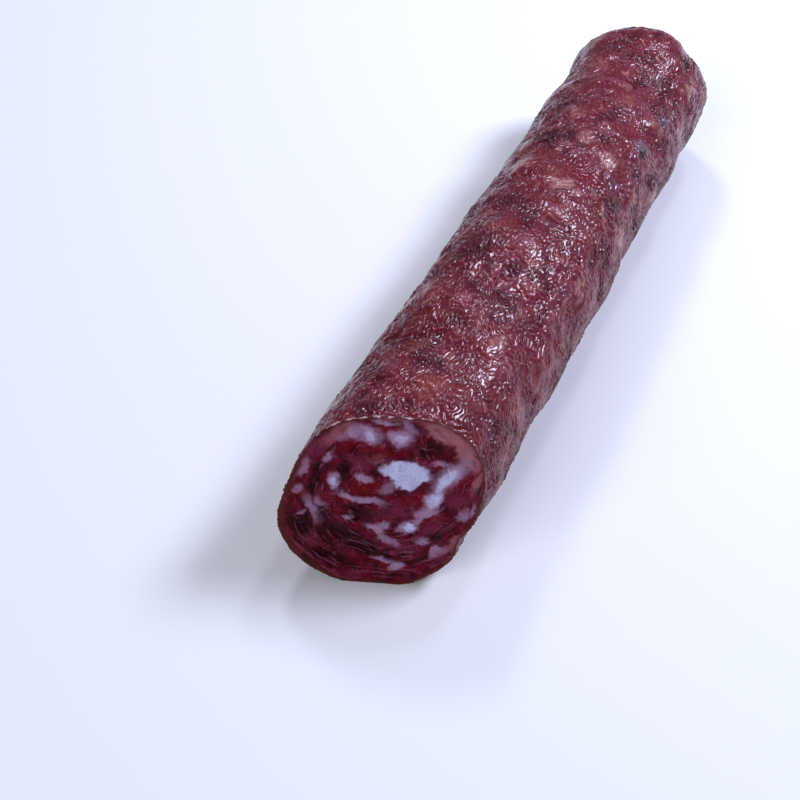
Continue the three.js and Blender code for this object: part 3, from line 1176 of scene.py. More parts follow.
@dataclass(frozen=True)
class CasingFinish:
    """The casing: wrinkled gut over dark lean, with fat that shows through.

    Attributes:
        crimson: Lean close under the gut.
        brown: Gut over drier meat.
        purple: Deeper lean.
        pale: Fine fat that mottles the meat.
        pink_tone_and_painted_sheen: Pinker towards the far end and on the right: partly the skin's own tone,
            partly painted sheen.
        painted_bounce_light: Painted brown bounce light on the flanks and the underside.
        lump_tone_and_painted_light: Lighter brown over the lumps: partly the skin's own tone there, partly
            painted light.
        hollow: Painted shade, a dark crimson, in the hollows between lumps and between wrinkles.
        speck: Ground pepper.
        brown_clouds: Where it is brown.
        purple_clouds: Where it is purple.
        pale_clouds: Where it is pale.
        pink_and_sheen_clouds: Where the pink tone and painted sheen lie.
        specks: Where the pepper lies.
        on_lumps: That lighter brown of own tone and painted light, by how hollow it is.
        hollow_shade_ramp: The painted shade in the hollows, by how hollow it is.
        wrinkle_shade_ramp: The painted shade between the wrinkles, by the height of the wrinkles.
        wrinkle_dull: Roughness added between the wrinkles.
        layers: Fat and lean that show through, lowest first.
    """

    crimson: tuple = linear(118, 20, 36)
    brown: tuple = linear(122, 50, 48)
    purple: tuple = linear(100, 26, 60)
    pale: tuple = linear(158, 92, 106)
    pink_tone_and_painted_sheen: tuple = linear(146, 82, 96)
    painted_bounce_light: tuple = linear(104, 52, 42)
    lump_tone_and_painted_light: tuple = linear(132, 58, 58)
    hollow: tuple = linear(78, 6, 26)
    speck: tuple = linear(24, 12, 14)
    brown_clouds: Clouds = Clouds(150.0, 4.0, 0.55, Ramp(0.36, 0.64, 1.0))
    purple_clouds: Clouds = Clouds(250.0, 4.0, 0.55, Ramp(0.42, 0.66, 0.8))
    pale_clouds: Clouds = Clouds(480.0, 3.0, 0.55, Ramp(0.50, 0.74, 0.55))
    pink_and_sheen_clouds: Clouds = Clouds(330.0, 4.0, 0.6, Ramp(0.4, 0.64, 1.0))
    specks: Clouds = Clouds(980.0, 1.0, 0.4, Ramp(0.74, 0.77, 0.85))
    on_lumps: Ramp = Ramp(0.3, 0.0, 0.35)
    hollow_shade_ramp: Ramp = Ramp(0.3, 1.0, 0.8)
    wrinkle_shade_ramp: Ramp = Ramp(0.5, 0.0, 0.45)
    wrinkle_dull: Ramp = Ramp(0.6, 0.0, 0.05)
    layers: tuple[Layer, ...] = (
        Layer(Tone.RED, linear(134, 24, 38), 500.0, 0.35, 0.6, 0.75),
        Layer(Tone.ORANGE, linear(158, 88, 80), 500.0, 0.35, 0.6, 0.9),
        Layer(Tone.PINK, linear(166, 102, 114), 600.0, 0.4, 0.6, 0.75),
        Layer(Tone.CREAM, linear(190, 142, 134), 600.0, 0.3, 0.5, 0.95),
        Layer(Tone.GREY, linear(112, 102, 114), 600.0, 0.4, 0.55, 0.8),
        Layer(Tone.DARK, linear(44, 8, 18), 500.0, 0.35, 0.6, 0.85),
    )

    def material(self, effects: SharedEffects) -> bpy.types.Material:
        """Builds the material: a soft sheen under a glossy film, with fine creases.

        Args:
            effects: The shared node groups.

        Returns:
            The material.
        """
        material, sketch, shader = new_material("wrinkled_casing")
        tones = sketch.tones()
        ridge, hollow, painted_bounce_light = sketch.channels("lie")
        pinkness = sketch.attribute("pink_tone_and_painted_sheen").outputs["Fac"]
        fat = sketch.maths("MAXIMUM", tones[Tone.CREAM], tones[Tone.ORANGE])
        fat = sketch.maths("MAXIMUM", fat, tones[Tone.PINK])

        colour = sketch.mix(self.brown_clouds.mask(sketch), self.crimson, self.brown)
        colour = sketch.mix(self.purple_clouds.mask(sketch), colour, self.purple)
        colour = sketch.mix(self.pale_clouds.mask(sketch), colour, self.pale)
        # Pinker towards the far end and on the right: partly the skin's own tone, partly painted sheen
        pinker = sketch.maths("MULTIPLY", self.pink_and_sheen_clouds.mask(sketch), pinkness)
        colour = sketch.mix(pinker, colour, self.pink_tone_and_painted_sheen)
        # Painted brown bounce light on the flanks and the underside
        colour = sketch.mix(painted_bounce_light, colour, self.painted_bounce_light)
        # Lighter brown on the lumps: partly their own tone, partly painted light
        colour = sketch.mix(self.on_lumps.mask(sketch, hollow), colour, self.lump_tone_and_painted_light)
        # Painted shade in the hollows between lumps
        colour = sketch.mix(self.hollow_shade_ramp.mask(sketch, hollow), colour, self.hollow)
        colour = effects.lay(sketch, colour, self.layers, tones)
        # Painted shade in the valleys between the wrinkles
        colour = sketch.mix(self.wrinkle_shade_ramp.mask(sketch, ridge), colour, self.hollow)
        colour = sketch.mix(self.specks.mask(sketch), colour, self.speck)

        film = effects.place(sketch, effects.moist_film, Scale=300.0, Glossy=0.3, Dull=0.46).outputs
        creases = effects.place(sketch, effects.fine_creases, Scale=1900.0, Stretch=2.6).outputs["Height"]
        creases = sketch.maths("MULTIPLY", creases, sketch.spread(fat, 0.2, 0.9, 1.0, 0.35))
        height = sketch.maths("ADD", creases, sketch.maths("MULTIPLY", film["Height"], 0.2))
        roughness = sketch.maths("ADD", film["Roughness"], self.wrinkle_dull.mask(sketch, ridge))
        normal = sketch.bumps(height, 1.0, 0.00002)
        join(sketch, shader, Base_Color=colour, Roughness=roughness, Normal=normal, IOR=1.26)
        join(sketch, shader, Coat_Weight=0.65, Coat_Roughness=0.1, Coat_IOR=1.4)
        return material


@dataclass(frozen=True)
class CutFinish:
    """The cut: deep red lean with fat, sinew streaks and gaps with painted shade.

    Attributes:
        lean: Lean.
        lean_dark: Darker lean.
        veil: Lean with a thin film of smeared fat.
        dark: Painted shade in the gaps that follow the streaks.
        sinew: Thin pale streaks.
        strand: Thin strands of fat that wander through the lean.
        rim: Brown edge beside the casing.
        lean_clouds: Where the lean is lighter.
        veil_clouds: Where fat is smeared over it.
        gap_shade_ramp: The painted shade in the gaps, by the height of the streaks.
        sinews: The pale streaks, by their height.
        strands: The strands, by how far a noise is from its middle value.
        strand_clouds: Where there are strands.
        lean_layers: Kinds of lean, lowest first.
        fat_layers: Kinds of fat, lowest first.
    """

    lean: tuple = linear(122, 4, 36)
    lean_dark: tuple = linear(74, 0, 18)
    veil: tuple = linear(126, 50, 80)
    dark: tuple = linear(36, 0, 4)
    sinew: tuple = linear(142, 84, 108)
    strand: tuple = linear(170, 112, 128)
    rim: tuple = linear(100, 54, 44)
    lean_clouds: Clouds = Clouds(420.0, 4.0, 0.55, Ramp(0.36, 0.64, 1.0))
    veil_clouds: Clouds = Clouds(260.0, 4.0, 0.6, Ramp(0.44, 0.70, 0.7))
    gap_shade_ramp: Ramp = Ramp(-0.3, -1.6, 0.7)
    sinews: Ramp = Ramp(0.4, 1.8, 0.55)
    strands: Ramp = Ramp(0.012, 0.0, 1.0)
    strand_clouds: Clouds = Clouds(210.0, 2.0, 0.5, Ramp(0.46, 0.6, 0.5))
    lean_layers: tuple[Layer, ...] = (
        Layer(Tone.RED, linear(126, 0, 20), 600.0, 0.4, 0.6, 0.75),
        Layer(Tone.ORANGE, linear(186, 122, 132), 700.0, 0.4, 0.55, 0.85),
        Layer(Tone.GREY, linear(126, 50, 80), 900.0, 0.6, 0.6, 0.9),
        # Painted shade in the sunk gaps and crevices of the cut
        Layer(Tone.DARK, linear(36, 0, 4), 600.0, 0.35, 0.6, 0.85),
    )
    fat_layers: tuple[Layer, ...] = (
        Layer(Tone.PINK, linear(182, 148, 178), 700.0, 0.3, 0.5, 0.9),
        Layer(Tone.CREAM, linear(206, 204, 238), 700.0, 0.22, 0.24, 1.0),
    )

    def material(self, effects: SharedEffects) -> bpy.types.Material:
        """Builds the material.

        Args:
            effects: The shared node groups.

        Returns:
            The material.
        """
        material, sketch, shader = new_material("cut_meat")
        tones = sketch.tones()
        streak = sketch.attribute("streak").outputs["Fac"]
        edge = sketch.attribute("edge").outputs["Fac"]

        colour = sketch.mix(self.lean_clouds.mask(sketch), self.lean_dark, self.lean)
        colour = sketch.mix(self.veil_clouds.mask(sketch), colour, self.veil)
        colour = effects.lay(sketch, colour, self.lean_layers, tones)
        # Painted shade in the grooves between the streaks
        colour = sketch.mix(self.gap_shade_ramp.mask(sketch, streak), colour, self.dark)
        colour = sketch.mix(self.sinews.mask(sketch, streak), colour, self.sinew)
        away = sketch.maths("SUBTRACT", sketch.noise(300.0, 1.0, 0.4), 0.5)
        strand = self.strands.mask(sketch, sketch.maths("ABSOLUTE", away))
        strand = sketch.maths("MULTIPLY", strand, self.strand_clouds.mask(sketch))
        colour = sketch.mix(strand, colour, self.strand)
        colour = effects.lay(sketch, colour, self.fat_layers, tones)
        colour = sketch.mix(edge, colour, self.rim)

        film = effects.place(sketch, effects.moist_film, Scale=500.0, Glossy=0.16, Dull=0.4).outputs
        normal = sketch.bumps(film["Height"], 0.6, 0.00012)
        join(sketch, shader, Base_Color=colour, Roughness=film["Roughness"], Normal=normal, IOR=1.22)
        return material


@dataclass(frozen=True)
class EdgeFinish:
    """The cut edge of the casing: pale where it stands off the meat, brown elsewhere.

    Attributes:
        pale: Dry, whitish gut.
        brown: Moist gut that lies on the meat.
    """

    pale: tuple = linear(200, 170, 172)
    brown: tuple = linear(116, 58, 56)

    def material(self, effects: SharedEffects) -> bpy.types.Material:
        """Builds the material.

        Args:
            effects: The shared node groups.

        Returns:
            The material.
        """
        material, sketch, shader = new_material("casing_edge")
        pale = sketch.attribute("pale").outputs["Fac"]
        frayed = effects.place(sketch, effects.ragged_edge, Amount=pale, Scale=1300.0, Ragged=0.9, Soft=0.3)
        colour = sketch.mix(frayed.outputs["Mask"], self.brown, self.pale)
        film = effects.place(sketch, effects.moist_film, Scale=600.0, Glossy=0.3, Dull=0.55).outputs
        normal = sketch.bumps(film["Height"], 0.4, 0.0001)
        join(sketch, shader, Base_Color=colour, Roughness=film["Roughness"], Normal=normal, IOR=1.45)
        return material


@dataclass(frozen=True)
class Maze:
    """A place where the casing is smooth but for maze-like ridges: place, angle in degrees, size."""

    along: float
    angle: float
    size: float


MAZES = (
    Maze(0.0165, 62, 0.0060),
    Maze(0.0380, 56, 0.0055),
    Maze(0.0800, 72, 0.0035),
    Maze(0.0720, 50, 0.0050),
)


@dataclass
class Casing:
    """The whole casing with its wrinkles, in bands along the sausage.

    Attributes:
        shape: The casing's form.
        pitch: Distance between points of the mesh.
        slant_length: Length that the slant of the cut adds to the body.
        body_share: Rows of the body for each pitch of its length.
        dome_share: Rows of the rounded end for each pitch of its length.
        sheet_length: Length of the sheets of random values.
        wrinkle_pitch: Distance between the values that make the wrinkles.
        wrinkle_seed: Start of their draws.
        patch_pitch: Distance between the values that make the patches.
        patch_seed: Start of their draws.
        before_cut: Place on a sheet past which a value belongs before the cut.
        bands: Number of pieces along the length.
        wrinkle_depth: Height of the fine lengthwise wrinkles.
        maze_depth: Height of the maze-like ridges.
        crumple_depth: Height of the broader crumples.
        wander: How far the wrinkles wander sideways.
        patch_wander: How far the edges of the patches wander.
        stray_patches: Number of small patches spread over the whole casing.
        bounce_light_from: Angle from straight up at which the painted brown bounce light starts down the
            left, in degrees.
        side_waves: Waves that move the wrinkles sideways.
        length_waves: Waves that move them along the sausage.
        fine_waves: Waves that make the lengthwise wrinkles.
        maze_waves: Waves that make the maze-like ridges.
        maze_passes: How often those are cut off and filtered.
        crumple_waves: Waves that make the crumples.
        cloud_waves: Waves that say where the maze-like ridges are.
        strength_waves: Waves that say where the wrinkles are deeper.
        hollow_waves: Waves that say where it is hollow.
        patch_waves: Waves that move the edges of the patches, along the sausage and round it.
    """

    shape: CasingShape
    pitch: float = 0.00018
    slant_length: float = 0.01
    body_share: float = 0.94
    dome_share: float = 0.8
    sheet_length: float = 0.25
    wrinkle_pitch: float = 0.00015
    wrinkle_seed: int = 11
    patch_pitch: float = 0.0004
    patch_seed: int = 40
    before_cut: float = 0.22
    bands: int = 9
    wrinkle_depth: float = 0.00022
    maze_depth: float = 0.0002
    crumple_depth: float = 0.00007
    wander: float = 0.0004
    patch_wander: float = 0.0006
    stray_patches: int = 110
    bounce_light_from: float = 20.0
    side_waves: Waves = Waves(0.009, 1)
    length_waves: Waves = Waves(0.009, 2)
    fine_waves: Waves = Waves(0.00084, 3, 2.3, 0.42)
    maze_waves: Waves = Waves(0.00145, 4, 1.1, 0.4)
    maze_passes: int = 5
    crumple_waves: Waves = Waves(0.0046, 5, 1.2, 0.6)
    cloud_waves: Waves = Waves(0.014, 6)
    strength_waves: Waves = Waves(0.009, 7)
    hollow_waves: Waves = Waves(0.011, 8)
    patch_waves: tuple[Waves, Waves] = (Waves(0.0045, 1), Waves(0.0045, 2))

    def __post_init__(self) -> None:
        """Works out the smooth surface and the wrinkles on it."""
        shape = self.shape
        round_length = 2 * math.pi * shape.cut_radius
        steps = round(round_length / self.pitch)
        self.angle = np.arange(steps) * 2 * math.pi / steps
        body_rows = round((shape.body_length + self.slant_length) / self.pitch * self.body_share)
        dome_rows = round((shape.dome_length + shape.end_radius) * self.dome_share / self.pitch)
        nub_rows = round(shape.nub_length / self.pitch)
        smooth = shape.surface(self.angle, body_rows, dome_rows, nub_rows)
        past = np.linalg.norm(np.diff(smooth[body_rows - 1 :], axis=0), axis=-1).cumsum(0)
        body_along = smooth[:body_rows, :, 1]
        self.distance = np.concatenate([body_along, body_along[-1] + past])
        self.across = np.broadcast_to(self.angle * shape.cut_radius, self.distance.shape)
        self.sheet = Sheet(round_length, self.sheet_length, self.wrinkle_pitch, self.wrinkle_seed)
        self.tones = self.patch_tones()
        height, self.ridges, self.hollows = self.wrinkles()
        points = smooth + surface_normals(smooth) * height[..., None]
        points[..., 2] = np.maximum(points[..., 2], 0.0)
        points[..., 1] += shape.cut_middle_y
        self.points = points
        self.normals = surface_normals(points)

    def patch_tones(self) -> dict[str, Array]:
        """Tones of the patches on a coarse sheet, read back at each point of the casing.

        Returns:
            For each attribute's name, values with three channels by row and step.
        """
        coarse = Sheet(self.sheet.width, self.sheet.height, self.patch_pitch, self.patch_seed)
        rows, columns = coarse.shape
        along = np.arange(rows)[:, None] * coarse.height / rows + np.zeros(columns)
        across = np.arange(columns)[None, :] * coarse.width / columns + np.zeros((rows, 1))
        along = np.where(along > self.before_cut, along - coarse.height, along)
        along = along + self.patch_wander * coarse.grain(self.patch_waves[0])
        across = across + self.patch_wander * coarse.grain(self.patch_waves[1])
        patches = (*CASING_PATCHES, *self.strays())
        tones = paint(patches, (along, across), math.radians(1.0) * self.shape.cut_radius)
        return {
            name: np.stack([coarse.read(value[..., k], self.across, self.distance) for k in range(3)], -1)
            for name, value in tones.items()
        }

    def strays(self) -> list[Patch]:
        """Weak patches on the small lumps and between them, of several tones in turn.

        Returns:
            The patches.
        """
        tones = (Tone.ORANGE, Tone.RED, Tone.PINK, Tone.DARK, Tone.CREAM)
        fats = (Tone.ORANGE, Tone.PINK, Tone.ORANGE, Tone.CREAM)
        length = self.shape.body_length + self.shape.dome_length + self.shape.end_radius
        on_lumps = [
            Patch(
                lump.along,
                lump.angle,
                lump.size * 0.62,
                lump.size * 0.5,
                180.0 * fraction(number * GOLDEN_STEP),
                fats[number % len(fats)],
                0.45 + 0.35 * fraction(number * SILVER_STEP),
            )
            for number, lump in enumerate(self.shape.scattered_lumps())
        ]
        between = [
            Patch(
                length * fraction(0.31 + step / PLASTIC_NUMBER) - 0.008,
                360.0 * fraction(0.77 + step / PLASTIC_NUMBER**2),
                0.0012 + 0.0026 * fraction(step * GOLDEN_STEP),
                0.0012 + 0.0016 * fraction(step * SILVER_STEP),
                180.0 * fraction(step * GOLDEN_STEP * 2),
                tones[step % len(tones)],
                0.3 + 0.35 * fraction(step * SILVER_STEP * 3),
            )
            for step in range(1, self.stray_patches + 1)
        ]
        return on_lumps + between

    def wrinkles(self) -> tuple[Array, Array, Array]:
        """Height of the wrinkles over the smooth casing.

        Fine wrinkles run mostly along the sausage, wander sideways, and are lower over fat. Maze-like
        ridges take their place at the mazes and in scattered clouds. Broader crumples lie under both.
        Where the crumples and the lumps are low, it is a hollow.

        Returns:
            The height, how far up a wrinkle it is and how hollow it is, by row and step.
        """
        sheet = self.sheet
        places = (self.across, self.distance)
        across = self.across + self.wander * sheet.sample(self.side_waves, *places)
        along = self.distance + self.wander * sheet.sample(self.length_waves, *places)
        fine = sheet.sample(self.fine_waves, across, along)
        maze = sheet.read(sheet.buckled(self.maze_waves, self.maze_passes), across, along)
        crumples = sheet.sample(self.crumple_waves, across, along)
        clouds = sheet.sample(self.cloud_waves, *places)
        strength = sheet.sample(self.strength_waves, *places)

        share = 0.7 * smooth_step(0.6, 1.6, clouds)
        for place in MAZES:
            turn = turn_between(math.radians(place.angle), self.angle) * self.shape.cut_radius
            share = np.maximum(share, plateau(np.hypot(self.distance - place.along, turn) / place.size))
        lumps = self.shape.lump_height(self.angle, self.distance)
        slow = sheet.sample(self.hollow_waves, *places)
        # How hollow it is also sets the painted shade in the hollows and the painted light on the lumps
        hollows = smooth_step(1.0, -1.4, crumples * 0.35 + slow * 0.5 + lumps / 0.0003)
        grains = smooth_step(-0.3, 1.6, fine)
        lines = smooth_step(-0.7, 1.2, maze)
        ridges = grains * (1 - share) + lines * share
        fat = self.tones["fat_tones"].max(-1)
        far = smooth_step(0.05, 0.16, self.distance)
        depth = (0.65 + 0.2 * strength + 0.6 * hollows) * (1.0 - 0.55 * fat) * (1.0 - 0.25 * far)
        depth = self.wrinkle_depth * depth
        height = grains * depth * (1 - share) + lines * self.maze_depth * share
        height = height + crumples * self.crumple_depth
        return height, ridges, hollows

    def painted_bounce_light(self) -> Array:
        """How much painted brown bounce light each place has: 0 on top, rising smoothly down the left and
        less on the right.

        Returns:
            Values by row and step.
        """
        off_top = turn_between(math.pi / 2, self.angle)
        left = smooth_step(math.radians(self.bounce_light_from), math.radians(100.0), off_top)
        right = smooth_step(math.radians(70.0), math.radians(130.0), -off_top)
        return np.broadcast_to(0.75 * np.maximum(left, 0.8 * right), self.distance.shape)

    def pink_tone_and_painted_sheen(self) -> Array:
        """How much pink tone and painted sheen each place has: more towards the far end and on the right.

        Returns:
            Values by row and step.
        """
        far = smooth_step(0.02, 0.16, self.distance)
        right = bump(turn_between(math.radians(25.0), self.angle) / math.radians(50.0))
        return 0.02 + 0.4 * far + 0.3 * right

    def build(self, effects: SharedEffects) -> list[bpy.types.Object]:
        """Makes the bands, which share their edge rows, and dresses them.

        Args:
            effects: The shared node groups.

        Returns:
            The bands.
        """
        material = CasingFinish().material(effects)
        # Wrinkle height, how hollow it is, and the painted bounce light
        lie = np.stack([self.ridges, self.hollows, self.painted_bounce_light()], -1)
        values = {**self.tones, "lie": lie, "pink_tone_and_painted_sheen": self.pink_tone_and_painted_sheen()}
        rows = len(self.points)
        edges = np.linspace(0, rows - 1, self.bands + 1).round().astype(int)
        tip = np.array([0.0, self.points[-1, :, 1].mean(), self.shape.axis_height(self.shape.body_length)])
        pieces = []
        for number, (start, end) in enumerate(zip(edges[:-1], edges[1:])):
            band = GridMesh(
                f"casing_{number + 1}",
                self.points[start : end + 1],
                {name: value[start : end + 1] for name, value in values.items()},
                self.normals[start : end + 1],
                tip if end == rows - 1 else None,
            )
            piece = band.build()
            piece.data.materials.append(material)
            pieces.append(piece)
        return pieces


@dataclass
class CutFace:
    """The cut, from the casing's rim to its middle.

    Attributes:
        casing: The casing, whose first row is the rim.
        rings: Number of rings from the middle to the rim.
        fat_rise: How far fat stands out of the lean.
        gap_depth: How deep the gaps are, which are painted with shade.
        sinew_rise: How far the streaks stand out.
        grain_height: Height of the fine unevenness.
        broad_height: Height of the broad unevenness.
        wander: How far the edges of the patches wander.
        fine_wander: How far they wander in short waves.
        swirl_middle: Middle of the circles that the streaks follow, across and up from the cut's.
        swirl_radius: Distance from there at which the streaks are as long as their waves say.
        swirl_bend: How far the circles bend.
        rim_width: Width of the brown edge.
        rim_strength: How strong its brown is.
        sheet_width: Width of the sheet of random values.
        sheet_pitch: Distance between them.
        seed: Start of the draws.
        wander_waves: Waves that move the patches across and up.
        fine_waves: Short waves that move them across and up.
        bend_waves: Waves that bend the circles.
        short_waves: Waves of the short streaks.
        long_waves: Waves of the long streaks low on the cut.
        cloud_waves: Waves that say where the streaks are stronger.
        grain_waves: Waves of the fine unevenness.
        broad_waves: Waves of the broad unevenness.
    """

    casing: Casing
    rings: int = 96
    fat_rise: float = 0.00012
    gap_depth: float = 0.0004
    sinew_rise: float = 0.00006
    grain_height: float = 0.00005
    broad_height: float = 0.00012
    wander: float = 0.00025
    fine_wander: float = 0.00011
    swirl_middle: tuple[float, float] = (0.002, 0.004)
    swirl_radius: float = 0.012
    swirl_bend: float = 0.0003
    rim_width: float = 0.0007
    rim_strength: float = 0.85
    sheet_width: float = 0.05
    sheet_pitch: float = 0.00012
    seed: int = 70
    wander_waves: tuple[Waves, Waves] = (Waves(0.0055, 1), Waves(0.0055, 2))
    fine_waves: tuple[Waves, Waves] = (Waves(0.0015, 3), Waves(0.0015, 4))
    bend_waves: Waves = Waves(0.010, 9)
    short_waves: Waves = Waves(0.00085, 5, 5.0, 0.7)
    long_waves: Waves = Waves(0.00085, 10, 11.0, 0.6)
    cloud_waves: Waves = Waves(0.005, 6)
    grain_waves: Waves = Waves(0.0007, 7)
    broad_waves: Waves = Waves(0.0045, 8)

    @property
    def middle(self) -> Array:
        """The middle of the cut in the row frame."""
        shape = self.casing.shape
        return np.array([0.0, shape.cut_middle_y, shape.axis_height(0.0)])

    @property
    def outward(self) -> Array:
        """The direction that the cut faces.

        Returns:
            A vector of length 1.
        """
        shape = self.casing.shape
        normal = np.array([shape.cut_turn, -1.0, shape.cut_lean])
        return normal / np.linalg.norm(normal)

    def build(self, effects: SharedEffects) -> bpy.types.Object:
        """Makes the face with its relief and dresses it.

        The rings are the rim drawn in to the middle. Streaks follow circles round a point above the
        middle, drawn out along them.

        Args:
            effects: The shared node groups.

        Returns:
            The face.
        """
        rim = self.casing.points[0]
        share = np.linspace(1.0, 1.0 / self.rings, self.rings)[:, None, None]
        points = self.middle + (rim - self.middle) * share
        across = points[..., 0] - self.middle[0]
        up = points[..., 2] - self.middle[2]

        sheet = Sheet(self.sheet_width, 2 * math.pi * self.swirl_radius, self.sheet_pitch, self.seed)
        wander_across = self.wander * sheet.sample(self.wander_waves[0], across, up)
        wander_up = self.wander * sheet.sample(self.wander_waves[1], across, up)
        fine_across = self.fine_wander * sheet.sample(self.fine_waves[0], across, up)
        fine_up = self.fine_wander * sheet.sample(self.fine_waves[1], across, up)
        places = (across + wander_across + fine_across, up + wander_up + fine_up)
        tones = paint(CUT_PATCHES, places, 0.0)

        aside, above = across - self.swirl_middle[0], up - self.swirl_middle[1]
        ring_distance = np.hypot(aside, above) + self.swirl_bend * sheet.sample(self.bend_waves, across, up)
        ring_place = np.arctan2(above, aside) * self.swirl_radius
        short = sheet.sample(self.short_waves, ring_distance, ring_place)
        long = sheet.sample(self.long_waves, ring_distance, ring_place)
        patchy = sheet.sample(self.cloud_waves, across, up)
        low = smooth_step(0.006, -0.010, up)
        streak = (short * (1.0 - low) + long * low) * np.clip(0.45 + 0.5 * patchy + 0.55 * low, 0.0, 1.5)

        inside = (1.0 - share[..., 0]) * np.hypot(across, up) / np.maximum(share[..., 0], 0.01)
        fade = smooth_step(0.0, 0.0012, inside)
        fat = np.maximum(tones["fat_tones"][..., 0], tones["fat_tones"][..., 2])
        height = self.fat_rise * smooth_step(0.3, 0.7, fat)
        height = height - self.gap_depth * smooth_step(0.3, 1.0, tones["lean_tones"][..., 1])
        height = height + self.sinew_rise * streak
        height = height + self.grain_height * sheet.sample(self.grain_waves, across, up)
        height = height + self.broad_height * sheet.sample(self.broad_waves, across, up)
        points = points + self.outward * (height * fade)[..., None]

        lower_left = bump(turn_between(math.radians(205.0), self.casing.angle) / math.radians(40.0))
        brown = bump(inside / (self.rim_width * (1.0 + 1.3 * lower_left))) * self.rim_strength
        values = {**tones, "streak": streak, "edge": brown}
        piece = GridMesh("cut_face", points, values, tip=points[-1].mean(0), turned_over=True).build()
        piece.data.materials.append(CutFinish().material(effects))
        return piece


@dataclass
class CasingEdge:
    """The cut edge of the casing, a thin lip round the cut.

    Attributes:
        casing: The casing, whose first row is the rim.
        outward: The direction that the cut faces.
        steps: Steps across the lip.
        width: Half width of the lip.
        height: How far it stands off the cut.
        pale_angle: Where the lip is palest, in degrees.
        pale_spread: How far round it stays pale, in degrees.
        uneven_waves: Waves of its size.
        frayed_waves: Waves that say where it is not pale.
    """

    casing: Casing
    outward: Array
    steps: int = 12
    width: float = 0.00012
    height: float = 0.00014
    pale_angle: float = 108.0
    pale_spread: float = 42.0
    uneven_waves: Waves = Waves(0.0022, 21)
    frayed_waves: Waves = Waves(0.0034, 22)

    def build(self, effects: SharedEffects) -> bpy.types.Object:
        """Makes the lip and dresses it.

        Its section is an ellipse round a point just inside the rim, larger where it is pale, with
        an uneven size all round.

        Args:
            effects: The shared node groups.

        Returns:
            The lip.
        """
        rim = self.casing.points[0]
        angle = self.casing.angle
        inward = rim.mean(0) - rim
        inward = inward - (inward @ self.outward)[:, None] * self.outward
        inward = inward / np.linalg.norm(inward, axis=-1, keepdims=True)
        pale = bump(turn_between(math.radians(self.pale_angle), angle) / math.radians(self.pale_spread))
        sheet = self.casing.sheet
        places = (self.casing.across[0], 0.0 * angle)
        uneven = sheet.sample(self.uneven_waves, *places)
        frayed = sheet.sample(self.frayed_waves, *places)
        pale = pale * smooth_step(-0.8, 0.5, frayed)
        size = np.clip(0.6 + 0.75 * pale + 0.45 * uneven, 0.3, 2.2)[:, None]
        sweep = (np.arange(self.steps) * 2 * math.pi / self.steps)[:, None, None]
        sideways = inward * (0.75 - np.cos(sweep)) * self.width * size
        outwards = self.outward * np.sin(sweep) * self.height * size
        points = rim + sideways + outwards
        points[..., 2] = np.maximum(points[..., 2], 0.0)
        values = {"pale": np.broadcast_to(pale, points.shape[:2])}
        piece = GridMesh("casing_edge", points, values, looped=True, turned_over=True).build()
        piece.data.materials.append(EdgeFinish().material(effects))
        return piece


@dataclass(frozen=True)
class SoftLight:
    """A soft rectangular light, with its width and height, power in watts and colour.

    The way points from the sausage to the light.
    """

    name: str
    way: tuple[float, float, float]
    distance: float
    width: float
    height: float
    power: float
    colour: tuple[float, float, float]


LIGHTS = (
    SoftLight("key", (0.475, 0.576, 0.70), 0.7, 0.18, 0.18, 3.7, (0.74, 0.79, 1.0)),
    SoftLight("middle", (0.02, 0.62, 0.72), 0.8, 0.09, 0.09, 0.7, (0.78, 0.82, 1.0)),
    SoftLight("left", (-0.42, 0.58, 0.70), 0.8, 0.12, 0.12, 1.3, (0.78, 0.82, 1.0)),
    SoftLight("front", (-0.25, -0.75, 0.62), 1.0, 0.7, 0.7, 4.2, (0.90, 0.90, 1.0)),
)


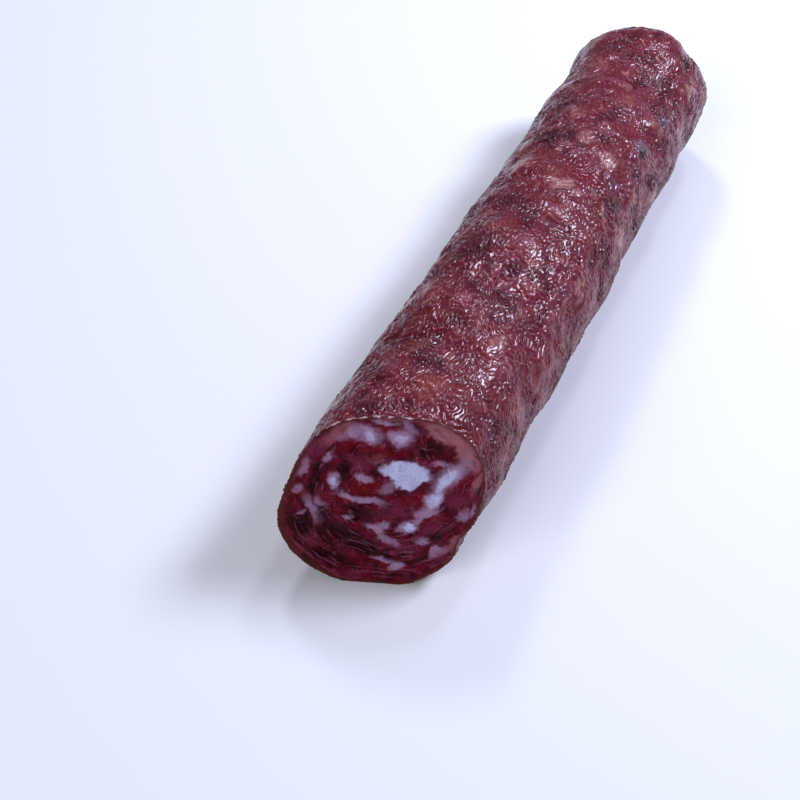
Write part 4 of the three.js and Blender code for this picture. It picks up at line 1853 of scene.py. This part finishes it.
@dataclass(frozen=True)
class Studio:
    """Floor, sky and camera, with the soft lights.

    Attributes:
        azimuth: Direction of the camera round the part, in degrees.
        elevation: Height of the camera over the horizon, in degrees.
        distance: From the camera to what it looks at.
        look_at: The point in the middle of the picture.
        focal: Focal length in pixels.
        picture: Width of the picture in pixels.
        floor_size: Side of the floor.
        floor_colour: Colour of the floor.
        floor_roughness: Roughness of the floor.
        sky: Colour of the sky.
        sky_strength: Brightness of the sky.
    """

    azimuth: float = 26.25
    elevation: float = 50.0
    distance: float = 0.3151
    look_at: tuple[float, float, float] = (-0.00926, -0.0549, 0.01939)
    focal: float = 1360.44
    picture: int = 800
    floor_size: float = 3.0
    floor_colour: tuple[float, float, float, float] = (0.86, 0.86, 0.87, 1.0)
    floor_roughness: float = 0.9
    sky: tuple[float, float, float, float] = (0.86, 0.9, 1.0, 1.0)
    sky_strength: float = 0.12

    def build(self) -> None:
        """Makes the floor, the lights and the camera."""
        self.build_floor()
        for light in LIGHTS:
            self.build_light(light)
        self.build_world()
        self.build_camera()

    def build_floor(self) -> None:
        """Makes a plain pale floor under the sausage."""
        half = self.floor_size / 2
        corners = [(-half, -half, 0), (half, -half, 0), (half, half, 0), (-half, half, 0)]
        mesh = bpy.data.meshes.new("floor")
        mesh.from_pydata(corners, [], [(0, 1, 2, 3)])
        floor = bpy.data.objects.new("floor", mesh)
        bpy.context.scene.collection.objects.link(floor)
        material, sketch, shader = new_material("pale_floor")
        join(sketch, shader, Base_Color=self.floor_colour, Roughness=self.floor_roughness)
        mesh.materials.append(material)

    def build_light(self, light: SoftLight) -> None:
        """Makes one soft light that points at the sausage.

        Args:
            light: The light.
        """
        area = bpy.data.lights.new(light.name, "AREA")
        area.shape = "RECTANGLE"
        area.size = light.width
        area.size_y = light.height
        area.energy = light.power
        area.color = light.colour
        lamp = bpy.data.objects.new(light.name, area)
        direction = Vector(light.way).normalized()
        lamp.location = Vector(self.look_at) + direction * light.distance
        lamp.rotation_euler = direction.to_track_quat("Z", "Y").to_euler()
        bpy.context.scene.collection.objects.link(lamp)

    def build_world(self) -> None:
        """Makes an even pale sky and plain colours on the screen."""
        world = bpy.data.worlds.new("studio")
        world.use_nodes = True
        background = world.node_tree.nodes["Background"]
        background.inputs["Color"].default_value = self.sky
        background.inputs["Strength"].default_value = self.sky_strength
        bpy.context.scene.world = world
        bpy.context.scene.view_settings.view_transform = "Standard"
        bpy.context.scene.view_settings.look = "Medium High Contrast"

    def build_camera(self) -> None:
        """Makes the camera at the photograph's angle."""
        data = bpy.data.cameras.new("camera")
        data.sensor_width = 36.0
        data.lens = self.focal / self.picture * data.sensor_width
        data.clip_start = 0.01
        camera = bpy.data.objects.new("camera", data)
        turn, height = math.radians(self.azimuth), math.radians(self.elevation)
        level = math.cos(height)
        back = Vector((math.sin(turn) * level, -math.cos(turn) * level, math.sin(height)))
        camera.location = Vector(self.look_at) + back * self.distance
        camera.rotation_euler = (math.pi / 2 - height, 0.0, turn)
        bpy.context.scene.collection.objects.link(camera)
        bpy.context.scene.camera = camera


def settle(piece: bpy.types.Object) -> None:
    """Fixes a piece to the frame and reports it.

    Args:
        piece: The piece.
    """
    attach(piece, BODY)
    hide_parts(NODE)
    LOG.info("%s: %d faces", piece.name, len(piece.data.polygons))


def main() -> None:
    """Builds the sausage piece by piece, then the studio."""
    logging.basicConfig(level=logging.INFO, format="%(name)s: %(message)s")
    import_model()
    effects = SharedEffects.build()
    casing = Casing(CasingShape())
    face = CutFace(casing)
    edge = CasingEdge(casing, face.outward)
    for band in casing.build(effects):
        settle(band)
    settle(face.build(effects))
    settle(edge.build(effects))
    Studio().build()


if __name__ == "__main__":
    main()
